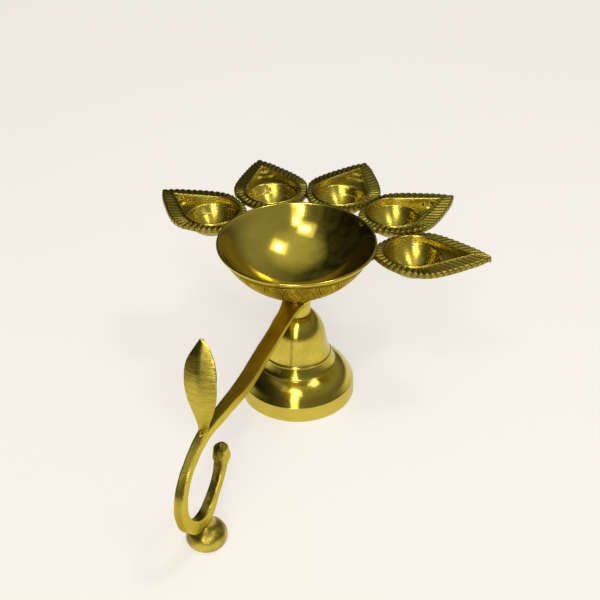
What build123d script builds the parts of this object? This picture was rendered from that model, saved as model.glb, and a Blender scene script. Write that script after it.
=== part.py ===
from build123d import *
import math
import os

# Brass aarti lamp: a bowl and a fan of five petal cups on a bell pedestal, with a
# bar handle clamped at the neck. Millimetres, +Z up, handle towards -Y. Every piece
# is drawn about the pedestal's axis at table level, then the whole lamp is moved so
# that the origin is the middle of its footprint.

# Driving dimensions: pedestal
BASE_RADIUS = 26.9
BASE_BAND_HEIGHT = 7.8
PEDESTAL_HEIGHT = 44.1
PEDESTAL_TOP_RADIUS = 7.0
PEDESTAL_WALL = 2.5
LOWER_RIDGE_Z = 17.2
LOWER_RIDGE_RADIUS = 18.1
UPPER_RIDGE_Z = 22.5
UPPER_RIDGE_RADIUS = 15.45
RIDGE_PROUD = 0.45
HOLLOW_CEILING_Z = 39.0
HOLLOW_CEILING_RADIUS = 8.4

# Neck stack: collar, handle eye, bowl boss, all on one stud
STUD_RADIUS = 3.0
RUNNING_CLEARANCE = 0.05
LOOSE_CLEARANCE = 0.3
COLLAR_RADIUS = 6.2
COLLAR_HEIGHT = 6.4
EYE_RADIUS = 6.6
EYE_THICKNESS = 2.2
BOSS_RADIUS = 6.2
STUD_SOCKET_DEPTH = 5.0
STUD_BELOW_NUT = 1.5
WASHER_RADIUS = 6.4
WASHER_THICKNESS = 1.2
NUT_ACROSS_FLATS = 10.0
NUT_HEIGHT = 5.0

# Bowl
BOWL_RIM_Z = 82.2
BOWL_RIM_RADIUS = 36.0
BOWL_RIM_WIDTH = 1.5
BOWL_FLOOR = 3.2
BOSS_HEIGHT = 4.45
LIP_HEIGHT = 3.4
LIP_EDGE = 1.1
LIP_FLARE = 2.2
LIP_ROUND = 0.3

# Fan of petal cups
PETAL_COUNT = 5
PETAL_PITCH_DEG = 36.4
FAN_MIDDLE_DEG = 86.45
PETAL_TIP_RADIUS = 86.4
PETAL_RIM_Z = 78.8
PETAL_LIFTS = (0.0, 1.5, 0.6, 0.0, -1.7)
PETAL_RIM_THICKNESS = 1.6
PETAL_RIM_RISE = 1.2
PETAL_WALL = 1.4
PETAL_SEAT_GAP = 0.15
CUP_FROM_SEAT = 19.3
CUP_MOUTH_RADIUS = 12.7
CUP_DEPTH = 10.2
BEAD_WIDTH = 0.9
BEAD_HEIGHT = 0.5
FLUTES_PER_SIDE = 23
FLUTE_DEPTH = 0.8
FLUTE_WIDTH = 2.4
FLUTE_LENGTH = 4.3
FLUTE_LEAN_DEG = 28.0
CHANNEL_FROM_TIP = 8.9
CHANNEL_TIP_DEPTH = 0.7
STEP_LENGTH = 3.4
STEP_RISE = 0.9
STEP_COUNT = 3
BRAZE_RADIUS = 1.6

# Handle
FOOT_RADIUS = 8.75
FOOT_HALF_HEIGHT = 6.0
FOOT_MIDDLE_Z = 3.4
FOOT_Y = -108.8
FOOT_STEM_RADIUS = 3.0
FOOT_STEM_TOP_Z = 15.0
KNOB_RADII = (3.6, 3.9, 5.9)
KNOB_Y = -91.2
KNOB_Z = 32.4
LEAF_Y = -106.0
LEAF_ROOT_Z = 55.0
LEAF_HEIGHT = 36.5
LEAF_THICKNESS = 2.2
LEAF_FOLD_DEG = 10.0
LEAF_LEAN_DEG = 6.5
LEAF_BRAZE_Z = 56.2
LEAF_BRAZE_RADII = (1.95, 4.4, 1.5)

# Heights of the neck stack, from the table up
EYE_Z = PEDESTAL_HEIGHT + COLLAR_HEIGHT
BOSS_Z = EYE_Z + EYE_THICKNESS
WASHER_Z = HOLLOW_CEILING_Z - WASHER_THICKNESS
NUT_Z = WASHER_Z - NUT_HEIGHT
STUD_END_Z = NUT_Z - STUD_BELOW_NUT
STUD_TOP_Z = BOSS_Z + STUD_SOCKET_DEPTH

# Round outside of the bowl, through the foot of the lip and down to the boss
LIP_Z = BOWL_RIM_Z - LIP_HEIGHT
BOWL_BOTTOM_Z = BOSS_Z + BOSS_HEIGHT
LIP_FOOT_RADIUS = BOWL_RIM_RADIUS - LIP_FLARE
BOWL_SPHERE_RADIUS = (LIP_FOOT_RADIUS**2 + (LIP_Z - BOWL_BOTTOM_Z) ** 2) / (2 * (LIP_Z - BOWL_BOTTOM_Z))
BOWL_SPHERE_Z = BOWL_BOTTOM_Z + BOWL_SPHERE_RADIUS

# Places of a petal cup along its length, from the bowl outwards
PETAL_LOW_Z = PETAL_RIM_Z - PETAL_RIM_THICKNESS
CUP_MOUTH_Z = PETAL_RIM_Z + PETAL_RIM_RISE
BOWL_AT_PETAL = math.sqrt(BOWL_SPHERE_RADIUS**2 - (BOWL_SPHERE_Z - PETAL_LOW_Z) ** 2)
PETAL_START_RADIUS = BOWL_AT_PETAL + PETAL_SEAT_GAP
PETAL_LENGTH = PETAL_TIP_RADIUS - PETAL_START_RADIUS
PETAL_TOUCH_RADIUS = PETAL_START_RADIUS + 0.35 * PETAL_LENGTH
CUP_CENTRE_RADIUS = PETAL_START_RADIUS + CUP_FROM_SEAT
CHANNEL_TIP_RADIUS = PETAL_TIP_RADIUS - CHANNEL_FROM_TIP
CHANNEL_HALF_ANGLE = math.asin(CUP_MOUTH_RADIUS / (CHANNEL_TIP_RADIUS - CUP_CENTRE_RADIUS))

# Pedestal's outside over the band, up to the lower ridge, as (radius, z)
PEDESTAL_DOME = [
    (BASE_RADIUS - 0.6, BASE_BAND_HEIGHT + 0.1),
    (25.75, 9.5),
    (24.95, 11.2),
    (23.85, 12.8),
    (22.35, 14.35),
    (20.55, 15.7),
    (LOWER_RIDGE_RADIUS, LOWER_RIDGE_Z - 0.35),
]
# Pedestal's outside between the two ridges, as (radius, z)
PEDESTAL_FLARE = [
    (LOWER_RIDGE_RADIUS - 0.2, LOWER_RIDGE_Z + 0.35),
    (16.75, 19.6),
    (UPPER_RIDGE_RADIUS + 0.1, UPPER_RIDGE_Z - 0.3),
]
# Pedestal's outside from the upper ridge to its top, as (radius, z)
PEDESTAL_BELL = [
    (UPPER_RIDGE_RADIUS - 0.1, UPPER_RIDGE_Z + 0.3),
    (14.35, 26.2),
    (13.6, 30.0),
    (13.2, 33.0),
    (12.45, 36.2),
    (11.15, 39.1),
    (9.5, 41.8),
    (PEDESTAL_TOP_RADIUS, PEDESTAL_HEIGHT - 0.2),
]
# Pedestal's hollow from its ceiling down to the table, as (radius, z)
PEDESTAL_HOLLOW = [
    (HOLLOW_CEILING_RADIUS, HOLLOW_CEILING_Z - 1.0),
    (9.5, 36.0),
    (10.5, 33.0),
    (11.0, 30.0),
    (11.9, 25.8),
    (13.0, 22.0),
    (14.3, 18.8),
    (17.4, 15.2),
    (21.2, 12.3),
    (BASE_RADIUS - PEDESTAL_WALL - 0.6, 8.0),
    (BASE_RADIUS - PEDESTAL_WALL, 0.0),
]

# Top face of the arm, over the crest, down the curl and up to the knob, as (y, z)
ARM_OUTER = [
    (-14.5, 52.4),
    (-26.0, 52.0),
    (-36.0, 51.6),
    (-47.0, 51.2),
    (-57.0, 50.7),
    (-65.0, 50.8),
    (-73.0, 51.7),
    (-81.0, 53.2),
    (-90.0, 54.5),
    (-98.0, 55.7),
    (-105.0, 56.3),
    (-111.5, 55.6),
    (-117.0, 54.0),
    (-122.0, 51.4),
    (-126.2, 48.4),
    (-129.2, 45.0),
    (-131.2, 40.8),
    (-132.0, 36.0),
    (-131.4, 30.8),
    (-129.6, 25.8),
    (-126.6, 20.8),
    (-122.6, 16.7),
    (-118.0, 13.9),
    (-113.0, 12.3),
    (-108.5, 12.5),
    (-104.6, 14.6),
    (-101.2, 17.2),
    (-98.0, 19.9),
    (-94.4, 22.8),
    (-91.2, 26.4),
    (-89.6, 30.2),
]
# Underside of the arm and inside of the curl, as (y, z)
ARM_INNER = [
    (-14.5, 50.3),
    (-29.5, 49.6),
    (-40.0, 48.8),
    (-52.0, 47.7),
    (-65.0, 47.1),
    (-74.6, 48.0),
    (-82.0, 48.9),
    (-90.0, 50.1),
    (-98.5, 51.5),
    (-105.0, 52.1),
    (-110.9, 51.4),
    (-116.0, 49.8),
    (-120.9, 47.0),
    (-124.2, 44.0),
    (-126.2, 40.4),
    (-127.0, 36.4),
    (-126.7, 32.0),
    (-125.0, 27.4),
    (-122.0, 23.6),
    (-118.0, 20.3),
    (-113.3, 18.7),
    (-108.6, 19.0),
    (-104.5, 20.6),
    (-100.8, 22.9),
    (-97.7, 25.6),
    (-95.6, 28.8),
    (-94.8, 32.4),
]
# Half width of the arm seen from above, as (y, x)
ARM_HALF_WIDTHS = [
    (-3.5, 5.6),
    (-9.0, 4.4),
    (-15.0, 3.75),
    (-25.0, 3.55),
    (-45.0, 3.45),
    (-65.0, 3.3),
    (-74.0, 2.95),
    (-82.0, 2.6),
    (-92.0, 2.35),
    (-104.0, 2.1),
    (-118.0, 1.9),
    (-134.0, 1.9),
]
# Half outline of a petal's rim: share of its length, share of the room beside its neighbour
PETAL_SHARES = [
    (0.0, 0.0),
    (0.021, 0.284),
    (0.060, 0.552),
    (0.109, 0.757),
    (0.165, 0.905),
    (0.241, 0.992),
    (0.335, 0.993),
    (0.419, 0.984),
    (0.504, 0.892),
    (0.588, 0.750),
    (0.692, 0.556),
    (0.804, 0.352),
    (0.908, 0.179),
    (1.0, 0.0),
]
# Outline of the leaf before it leans, seen from the front, both sides, as (x, share of height)
LEAF_RIGHT = [
    (1.9, 0.0),
    (3.1, 0.12),
    (4.6, 0.21),
    (6.0, 0.31),
    (6.8, 0.42),
    (7.1, 0.55),
    (6.9, 0.68),
    (6.0, 0.78),
    (4.6, 0.865),
    (2.9, 0.94),
    (0.9, 0.985),
    (-0.3, 1.0),
]
LEAF_LEFT = [
    (-1.7, 0.0),
    (-1.6, 0.11),
    (-2.6, 0.21),
    (-4.1, 0.31),
    (-5.5, 0.42),
    (-6.3, 0.53),
    (-6.6, 0.65),
    (-6.2, 0.755),
    (-5.1, 0.83),
    (-3.2, 0.91),
    (-1.0, 0.995),
]
# Middle line of the leaf seen from the side, as (distance in front of LEAF_Y, share of height)
LEAF_SIDE = [
    (-0.2, 0.0),
    (-0.5, 0.14),
    (-1.1, 0.27),
    (-2.0, 0.41),
    (-3.3, 0.55),
    (-5.4, 0.69),
    (-8.4, 0.83),
    (-10.8, 0.92),
    (-13.8, 1.02),
]


def turned(edges):
    """Solid turned about the Z axis from a closed profile in the XZ plane."""
    return revolve(make_face(edges), axis=Axis.Z)


def at(points):
    """Points of a turned profile, given as (radius, z)."""
    return [(r, 0, z) for r, z in points]


def tube(outer, inner, low, high):
    """Plain ring about the Z axis."""
    ring = Circle(outer) - Circle(inner)
    return Pos(0, 0, low) * extrude(ring, high - low)


def petal_edge():
    """One side of a petal's outline, from the bowl to the tip."""
    room = math.tan(math.radians(PETAL_PITCH_DEG / 2))
    points = []
    for along, share in PETAL_SHARES:
        radius = PETAL_START_RADIUS + along * PETAL_LENGTH
        points.append((radius, share * room * radius))
    end = (points[-1][0] - points[-2][0], -points[-2][1])
    return Spline(*points, tangents=((0, 1), end))


def petal_plate(low, high):
    """Flat plate of a petal's full outline."""
    side = petal_edge()
    outline = make_face([side, mirror(side, about=Plane.XZ)])
    return Pos(0, 0, low) * extrude(outline, high - low)


def mouth_edge():
    """One side of the cup's drop-shaped mouth under the middle of its bead, out to the tip."""
    radius = CUP_MOUTH_RADIUS + BEAD_WIDTH / 2
    arc = math.pi / 2 + CHANNEL_HALF_ANGLE
    points = []
    for k in range(7):
        turn = math.pi - arc * k / 6
        points.append((CUP_CENTRE_RADIUS + radius * math.cos(turn), radius * math.sin(turn)))
    points.append((CHANNEL_TIP_RADIUS + BEAD_WIDTH / 2 / math.sin(CHANNEL_HALF_ANGLE), 0))
    end = (math.cos(CHANNEL_HALF_ANGLE), -math.sin(CHANNEL_HALF_ANGLE))
    return Spline(*points, tangents=((0, 1), end))


def petal_skirt():
    """Rim climbing from the petal's outline to the cup's mouth."""
    outline, mouth = petal_edge(), mouth_edge()
    low = Pos(0, 0, PETAL_RIM_Z) * make_face([outline, mirror(outline, about=Plane.XZ)])
    high = Pos(0, 0, CUP_MOUTH_Z) * make_face([mouth, mirror(mouth, about=Plane.XZ)])
    return loft([low, high], ruled=True)


def cup_ball():
    """Radius and middle of the round cup."""
    radius = (CUP_MOUTH_RADIUS**2 + CUP_DEPTH**2) / (2 * CUP_DEPTH)
    return radius, Vector(CUP_CENTRE_RADIUS, 0, CUP_MOUTH_Z - CUP_DEPTH + radius)


def round_cup(grow):
    """Ball of the round cup, its poles to the sides, grown outwards by a wall."""
    radius, centre = cup_ball()
    return Pos(centre.X, centre.Y, centre.Z) * Rot(90, 0, 0) * Sphere(radius + grow)


def cup_hull(grow):
    """Round cup running out in a cone to the petal's tip, grown outwards by a wall."""
    inner, centre = cup_ball()
    tip = Vector(CHANNEL_TIP_RADIUS, 0, CUP_MOUTH_Z - CHANNEL_TIP_DEPTH)
    reach = (tip - centre).length
    axis = (tip - centre).normalized()
    sine = inner / reach
    cosine = math.sqrt(1 - sine**2)
    radius = inner + grow
    start = centre + axis * (radius * sine)
    length = radius / sine - radius * sine
    cone = Plane(origin=start, z_dir=axis) * Cone(
        radius * cosine, 0, length, align=(Align.CENTER, Align.CENTER, Align.MIN)
    )
    return round_cup(grow) + cone


def slab(low, high):
    """Flat slice of space round a petal between two heights."""
    return Pos(CUP_CENTRE_RADIUS, 0, low) * Box(
        3 * PETAL_LENGTH, PETAL_LENGTH, high - low, align=(Align.CENTER, Align.CENTER, Align.MIN)
    )


# Pedestal, turned outside and hollow underneath
def make_pedestal():
    foot = [(BASE_RADIUS - 0.5, 0.0), (BASE_RADIUS, 0.6), (BASE_RADIUS - 0.5, BASE_BAND_HEIGHT)]
    lower_ridge = (LOWER_RIDGE_RADIUS + RIDGE_PROUD, LOWER_RIDGE_Z)
    upper_ridge = (UPPER_RIDGE_RADIUS + RIDGE_PROUD, UPPER_RIDGE_Z)
    bore = STUD_RADIUS + RUNNING_CLEARANCE
    edges = [
        Polyline(*at(foot + [PEDESTAL_DOME[0]])),
        Spline(*at(PEDESTAL_DOME), tangents=((-0.35, 0, 1), (-2, 0, 1))),
        Polyline(*at([PEDESTAL_DOME[-1], lower_ridge, PEDESTAL_FLARE[0]])),
        Spline(*at(PEDESTAL_FLARE)),
        Polyline(*at([PEDESTAL_FLARE[-1], upper_ridge, PEDESTAL_BELL[0]])),
        Spline(*at(PEDESTAL_BELL)),
        Polyline(
            *at(
                [
                    PEDESTAL_BELL[-1],
                    (PEDESTAL_TOP_RADIUS, PEDESTAL_HEIGHT),
                    (bore, PEDESTAL_HEIGHT),
                    (bore, HOLLOW_CEILING_Z),
                    (HOLLOW_CEILING_RADIUS, HOLLOW_CEILING_Z),
                    PEDESTAL_HOLLOW[0],
                ]
            )
        ),
        Spline(*at(PEDESTAL_HOLLOW), tangents=((0, 0, -1), (0, 0, -1))),
        Line(*at([PEDESTAL_HOLLOW[-1], foot[0]])),
    ]
    return turned(edges)


# Neck pieces
def make_collar():
    ring = tube(COLLAR_RADIUS, STUD_RADIUS + LOOSE_CLEARANCE, PEDESTAL_HEIGHT, EYE_Z)
    return chamfer(ring.edges().filter_by(GeomType.CIRCLE).sort_by(SortBy.RADIUS)[-2:], 0.3)


def make_stud():
    stud = Pos(0, 0, STUD_END_Z) * extrude(Circle(STUD_RADIUS), STUD_TOP_Z - STUD_END_Z)
    return chamfer(stud.edges().sort_by(Axis.Z)[0], 0.6)


def make_washer():
    return tube(WASHER_RADIUS, STUD_RADIUS + LOOSE_CLEARANCE, WASHER_Z, HOLLOW_CEILING_Z)


def make_nut():
    hexagon = RegularPolygon(NUT_ACROSS_FLATS / 2, 6, major_radius=False)
    hexagon -= Circle(STUD_RADIUS + RUNNING_CLEARANCE)
    nut = Pos(0, 0, NUT_Z) * extrude(hexagon, NUT_HEIGHT)
    rounding = Pos(0, 0, NUT_Z + NUT_HEIGHT / 2) * Cone(
        NUT_ACROSS_FLATS / 2 - 0.1 + NUT_HEIGHT * 0.2,
        NUT_ACROSS_FLATS / 2 - 0.1 + NUT_HEIGHT * 1.2,
        NUT_HEIGHT,
    )
    return nut & rounding


# Bowl with its lip and foot boss
def bowl_outside(z):
    """Radius of the bowl's round outside at a height."""
    return math.sqrt(BOWL_SPHERE_RADIUS**2 - (BOWL_SPHERE_Z - z) ** 2)


def make_bowl():
    boss_top = BOWL_SPHERE_Z - math.sqrt(BOWL_SPHERE_RADIUS**2 - BOSS_RADIUS**2)
    mouth = BOWL_RIM_RADIUS - BOWL_RIM_WIDTH
    floor = BOWL_BOTTOM_Z + BOWL_FLOOR
    depth = BOWL_RIM_Z - floor
    inner = (mouth**2 + depth**2) / (2 * depth)
    mid_r = inner * math.sin(math.asin(mouth / inner) / 2)
    mid_z = floor + inner - math.sqrt(inner**2 - mid_r**2)
    out_z = (boss_top + LIP_Z) / 2
    edges = [
        Polyline((STUD_RADIUS, 0, BOSS_Z), (BOSS_RADIUS, 0, BOSS_Z), (BOSS_RADIUS, 0, boss_top)),
        ThreePointArc(
            (BOSS_RADIUS, 0, boss_top),
            (bowl_outside(out_z), 0, out_z),
            (LIP_FOOT_RADIUS, 0, LIP_Z),
        ),
        Polyline(
            (LIP_FOOT_RADIUS, 0, LIP_Z),
            (BOWL_RIM_RADIUS - LIP_ROUND, 0, BOWL_RIM_Z - LIP_EDGE - LIP_ROUND),
            (BOWL_RIM_RADIUS, 0, BOWL_RIM_Z - LIP_EDGE),
            (BOWL_RIM_RADIUS, 0, BOWL_RIM_Z - LIP_ROUND),
            (BOWL_RIM_RADIUS - LIP_ROUND, 0, BOWL_RIM_Z),
            (mouth, 0, BOWL_RIM_Z),
        ),
        ThreePointArc((mouth, 0, BOWL_RIM_Z), (mid_r, 0, mid_z), (0, 0, floor)),
        Polyline(
            (0, 0, floor),
            (0, 0, STUD_TOP_Z),
            (STUD_RADIUS, 0, STUD_TOP_Z),
            (STUD_RADIUS, 0, BOSS_Z),
        ),
    ]
    return turned(edges)


# One petal cup along +X, ready to be turned to its place
def make_petal():
    low = PETAL_RIM_Z - 2 * CUP_DEPTH
    petal = petal_plate(PETAL_LOW_Z, PETAL_RIM_Z) + petal_skirt() - flute_cutters()
    petal += cup_hull(PETAL_WALL) & slab(low, PETAL_RIM_Z - FLUTE_DEPTH)
    petal += cup_hull(BEAD_WIDTH) & slab(PETAL_LOW_Z, CUP_MOUTH_Z + BEAD_HEIGHT)
    return petal - cup_hollow()


def cup_hollow():
    """Round cup, and a stepped wick channel from it to the petal's tip."""
    top = CUP_MOUTH_Z + 2 * BEAD_HEIGHT
    hollow = round_cup(0) & slab(PETAL_RIM_Z - 2 * CUP_DEPTH, top)
    side = CUP_MOUTH_RADIUS * math.cos(CHANNEL_HALF_ANGLE)
    touch = CUP_CENTRE_RADIUS + CUP_MOUTH_RADIUS * math.sin(CHANNEL_HALF_ANGLE)
    for k in range(STEP_COUNT):
        end = CHANNEL_TIP_RADIUS - k * STEP_LENGTH
        gap = (CHANNEL_TIP_RADIUS - end) * math.tan(CHANNEL_HALF_ANGLE)
        sides = [(CUP_CENTRE_RADIUS, 0), (touch, side), (end, gap), (end, -gap), (touch, -side)]
        plan = make_face(Polyline(*dict.fromkeys(sides), close=True))
        floor = CUP_MOUTH_Z - STEP_RISE * (k + 1)
        hollow += Pos(0, 0, floor) * extrude(plan, top - floor)
    return hollow


def flute_cutters():
    """V grooves up the rim on both sides, leaning towards the tip along its straight sides."""
    edge = petal_edge()
    groove = make_face(
        Polyline(
            (-FLUTE_WIDTH / 2, FLUTE_DEPTH * 0.1),
            (FLUTE_WIDTH / 2, FLUTE_DEPTH * 0.1),
            (0, -FLUTE_DEPTH),
            close=True,
        )
    )
    climb = PETAL_RIM_RISE / FLUTE_LENGTH
    cutters = []
    for k in range(FLUTES_PER_SIDE):
        place = (k + 0.5) / FLUTES_PER_SIDE
        point = edge.position_at(place)
        along = edge.tangent_at(place)
        lean = math.radians(FLUTE_LEAN_DEG) * min(1, max(0, 3 * place - 0.75))
        square = Vector(-along.Y, along.X, 0)
        outward = square * math.cos(lean) + along * math.sin(lean) - Vector(0, 0, climb)
        start = point + outward * FLUTE_DEPTH
        frame = Plane(
            origin=(start.X, start.Y, PETAL_RIM_Z + start.Z),
            x_dir=along * math.cos(lean) - square * math.sin(lean),
            z_dir=outward * -1,
        )
        cutter = frame * extrude(groove, FLUTE_LENGTH + FLUTE_DEPTH)
        cutters += [cutter, mirror(cutter, about=Plane.XZ)]
    return cutters


# Handle bar with its eye, arm, curl and knob
def make_arm():
    top = [(0, y, z) for y, z in ARM_OUTER]
    under = [(0, y, z) for y, z in ARM_INNER]
    side = make_face(
        [
            Polyline((0, 0, EYE_Z), (0, 0, BOSS_Z), (0, -EYE_RADIUS - 1, BOSS_Z), top[0]),
            Spline(*top),
            Line(top[-1], under[-1]),
            Spline(*under),
            Polyline(under[0], (0, -EYE_RADIUS - 1, EYE_Z), (0, 0, EYE_Z)),
        ]
    )
    bar = extrude(side, EYE_RADIUS, dir=(1, 0, 0), both=True)
    right = [(x, y) for y, x in ARM_HALF_WIDTHS]
    left = [(-x, y) for x, y in reversed(right)]
    plan = make_face(
        [
            Spline(*right),
            Line(right[-1], left[0]),
            Spline(*left),
            Line(left[-1], right[0]),
        ]
    )
    bar &= extrude(plan, 2 * EYE_Z)
    eye = Pos(0, 0, EYE_Z) * extrude(Circle(EYE_RADIUS), EYE_THICKNESS)
    knob = Pos(0, KNOB_Y, KNOB_Z) * scale(Sphere(1.0), by=KNOB_RADII)
    arm = bar + eye + knob
    arm -= Pos(0, 0, EYE_Z - EYE_THICKNESS) * extrude(
        Circle(STUD_RADIUS + RUNNING_CLEARANCE), 3 * EYE_THICKNESS
    )
    return arm


# Leaf thumb rest: a folded blade cut to its outline, seated on the arm's crest
def make_leaf(arm):
    half = LEAF_THICKNESS / 2
    front = [(0, -d - half, share * LEAF_HEIGHT) for d, share in LEAF_SIDE]
    back = [(0, -d + half, share * LEAF_HEIGHT) for d, share in LEAF_SIDE]
    side = make_face(
        [Spline(*front), Line(front[-1], back[-1]), Spline(*back), Line(back[0], front[0])]
    )
    fold = math.radians(LEAF_FOLD_DEG)
    blade = extrude(side, LEAF_HEIGHT / 4, dir=(math.cos(fold), math.sin(fold), 0))
    blade += mirror(blade, about=Plane.YZ)
    right = [(x, 0, share * LEAF_HEIGHT) for x, share in LEAF_RIGHT]
    left = [(x, 0, share * LEAF_HEIGHT) for x, share in reversed(LEAF_LEFT)]
    front_view = make_face(
        [Spline(*right), Line(right[-1], left[0]), Spline(*left), Line(left[-1], right[0])]
    )
    blade &= extrude(front_view, LEAF_HEIGHT / 2, dir=(0, 1, 0), both=True)
    blade = Pos(0, LEAF_Y, LEAF_ROOT_Z) * Rot(0, -LEAF_LEAN_DEG, 0) * blade
    return blade - arm


def make_leaf_braze(arm, leaf):
    blob = Pos(0, LEAF_Y, LEAF_BRAZE_Z) * scale(Sphere(1.0), by=LEAF_BRAZE_RADII)
    return (blob - arm - leaf).solids().sort_by(SortBy.VOLUME)[-1]


# Bun foot under the curl, flat where it stands
def make_foot(arm):
    flat = FOOT_RADIUS * math.sqrt(1 - (FOOT_MIDDLE_Z / FOOT_HALF_HEIGHT) ** 2)
    shoulder_z = FOOT_MIDDLE_Z + 0.8 * FOOT_HALF_HEIGHT
    side = [
        (FOOT_RADIUS * math.sqrt(1 - ((z - FOOT_MIDDLE_Z) / FOOT_HALF_HEIGHT) ** 2), 0, z)
        for z in (0, 0.5 * FOOT_MIDDLE_Z, FOOT_MIDDLE_Z, FOOT_MIDDLE_Z + 0.45 * FOOT_HALF_HEIGHT)
    ]
    neck = [
        (FOOT_RADIUS * 0.6, 0, shoulder_z),
        (FOOT_STEM_RADIUS * 1.13, 0, shoulder_z + FOOT_HALF_HEIGHT / 4),
        (FOOT_STEM_RADIUS, 0, shoulder_z + FOOT_HALF_HEIGHT / 2),
        (FOOT_STEM_RADIUS, 0, FOOT_STEM_TOP_Z),
    ]
    edges = [
        Line((0, 0, 0), (flat, 0, 0)),
        Spline(*side, *neck),
        Polyline((FOOT_STEM_RADIUS, 0, FOOT_STEM_TOP_Z), (0, 0, FOOT_STEM_TOP_Z), (0, 0, 0)),
    ]
    pad = Pos(0, FOOT_Y, 0) * turned(edges) - arm
    return pad.solids().sort_by(SortBy.VOLUME)[-1]


def bead_under_rim(centre, radii, low):
    """Lower half of a small oval bead hanging from the underside of a petal's rim."""
    oval = Pos(centre, 0, low) * scale(Sphere(1), by=radii)
    reach = 4 * max(radii)
    return oval & Pos(centre, 0, low) * Box(
        reach, reach, reach, align=(Align.CENTER, Align.CENTER, Align.MAX)
    )


# Filler under the lip between a petal and the bowl, along +X
def make_bowl_braze(lift):
    low = PETAL_LOW_Z + lift
    radii = (1.6 * BRAZE_RADIUS, 2.8 * BRAZE_RADIUS, 1.3 * BRAZE_RADIUS)
    bead = bead_under_rim(bowl_outside(low) + PETAL_SEAT_GAP, radii, low)
    bead -= Pos(0, 0, BOWL_SPHERE_Z) * Sphere(BOWL_SPHERE_RADIUS)
    return bead.solids().sort_by(SortBy.VOLUME)[-1]


# Filler under the rims of two neighbours, half way between them, along +X
def make_petal_braze(lift, next_lift):
    radii = (1.9 * BRAZE_RADIUS, 1.1 * BRAZE_RADIUS, BRAZE_RADIUS)
    highest = PETAL_LOW_Z + max(lift, next_lift)
    lowest = PETAL_LOW_Z + min(lift, next_lift)
    bead = bead_under_rim(PETAL_TOUCH_RADIUS, radii, highest)
    bead += bead_under_rim(PETAL_TOUCH_RADIUS, radii, lowest)
    side = PETAL_PITCH_DEG / 2 if next_lift < lift else -PETAL_PITCH_DEG / 2
    bead -= Rot(0, 0, side) * petal_plate(lowest, highest + PETAL_RIM_THICKNESS)
    return bead.solids().sort_by(SortBy.VOLUME)[-1]


def build():
    nodes = {}
    nodes["pedestal"] = make_pedestal()
    nodes["neck_collar"] = make_collar()
    nodes["centre_stud"] = make_stud()
    nodes["stud_washer"] = make_washer()
    nodes["stud_nut"] = make_nut()
    bowl = make_bowl()
    nodes["bowl"] = bowl
    arm = make_arm()
    nodes["handle_arm"] = arm
    leaf = make_leaf(arm)
    nodes["thumb_leaf"] = leaf
    nodes["leaf_braze"] = make_leaf_braze(arm, leaf)
    nodes["handle_foot"] = make_foot(arm)
    petal = make_petal()
    turns = [
        FAN_MIDDLE_DEG + (k - (PETAL_COUNT - 1) / 2) * PETAL_PITCH_DEG for k in range(PETAL_COUNT)
    ]
    for k, turn in enumerate(turns):
        lift = PETAL_LIFTS[k]
        place = Rot(0, 0, turn)
        seated = place * Pos(0, 0, lift) * petal - bowl
        nodes[f"petal_cup_{k + 1}"] = seated.solids().sort_by(SortBy.VOLUME)[-1]
        nodes[f"bowl_braze_{k + 1}"] = place * make_bowl_braze(lift)
    for k in range(PETAL_COUNT - 1):
        place = Rot(0, 0, turns[k] + PETAL_PITCH_DEG / 2)
        bead = make_petal_braze(PETAL_LIFTS[k], PETAL_LIFTS[k + 1])
        nodes[f"petal_braze_{k + 1}"] = place * bead
    return nodes


# Move from the pedestal's axis to the middle of the lamp's footprint
def footprint_shift(nodes):
    boxes = [solid.bounding_box() for solid in nodes.values()]
    low_x = min(box.min.X for box in boxes)
    high_x = max(box.max.X for box in boxes)
    low_y = min(box.min.Y for box in boxes)
    high_y = max(box.max.Y for box in boxes)
    return Pos(-(low_x + high_x) / 2, -(low_y + high_y) / 2, 0)


os.makedirs("parts", exist_ok=True)
lamp = build()
shift = footprint_shift(lamp)
for name, solid in lamp.items():
    export_step(shift * solid, f"parts/{name}.step")
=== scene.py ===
import math

import bmesh
import bpy
from bpy.props import FloatProperty, FloatVectorProperty, IntProperty, PointerProperty
from mathutils import Matrix, Vector, noise
from mathutils.geometry import interpolate_bezier


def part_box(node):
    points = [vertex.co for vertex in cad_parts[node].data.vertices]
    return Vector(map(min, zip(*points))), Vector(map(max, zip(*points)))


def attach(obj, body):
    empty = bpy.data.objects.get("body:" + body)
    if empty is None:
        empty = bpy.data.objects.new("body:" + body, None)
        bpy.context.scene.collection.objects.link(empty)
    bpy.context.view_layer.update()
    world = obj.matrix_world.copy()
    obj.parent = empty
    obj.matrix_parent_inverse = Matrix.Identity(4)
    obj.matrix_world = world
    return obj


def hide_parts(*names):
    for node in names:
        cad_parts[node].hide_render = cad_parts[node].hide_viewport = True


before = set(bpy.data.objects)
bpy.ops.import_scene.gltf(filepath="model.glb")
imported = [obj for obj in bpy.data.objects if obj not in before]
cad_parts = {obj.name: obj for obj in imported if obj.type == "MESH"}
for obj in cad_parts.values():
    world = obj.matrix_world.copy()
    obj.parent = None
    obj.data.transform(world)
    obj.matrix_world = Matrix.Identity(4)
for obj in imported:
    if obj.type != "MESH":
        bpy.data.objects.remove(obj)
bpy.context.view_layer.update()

bl_info = {
    "name": "Aarti Lamp",
    "version": (1, 0, 0),
    "blender": (4, 5, 0),
    "location": "View3D > Sidebar > Lamp",
    "description": "Brass lamp with a bowl, a fan of petal cups, a bell pedestal and a bar handle",
    "category": "Object",
}

MM = 0.001
PEDESTAL_LOW, PEDESTAL_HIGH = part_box("pedestal")
AXIS = Vector(((PEDESTAL_LOW.x + PEDESTAL_HIGH.x) / 2, (PEDESTAL_LOW.y + PEDESTAL_HIGH.y) / 2, 0))

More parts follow.
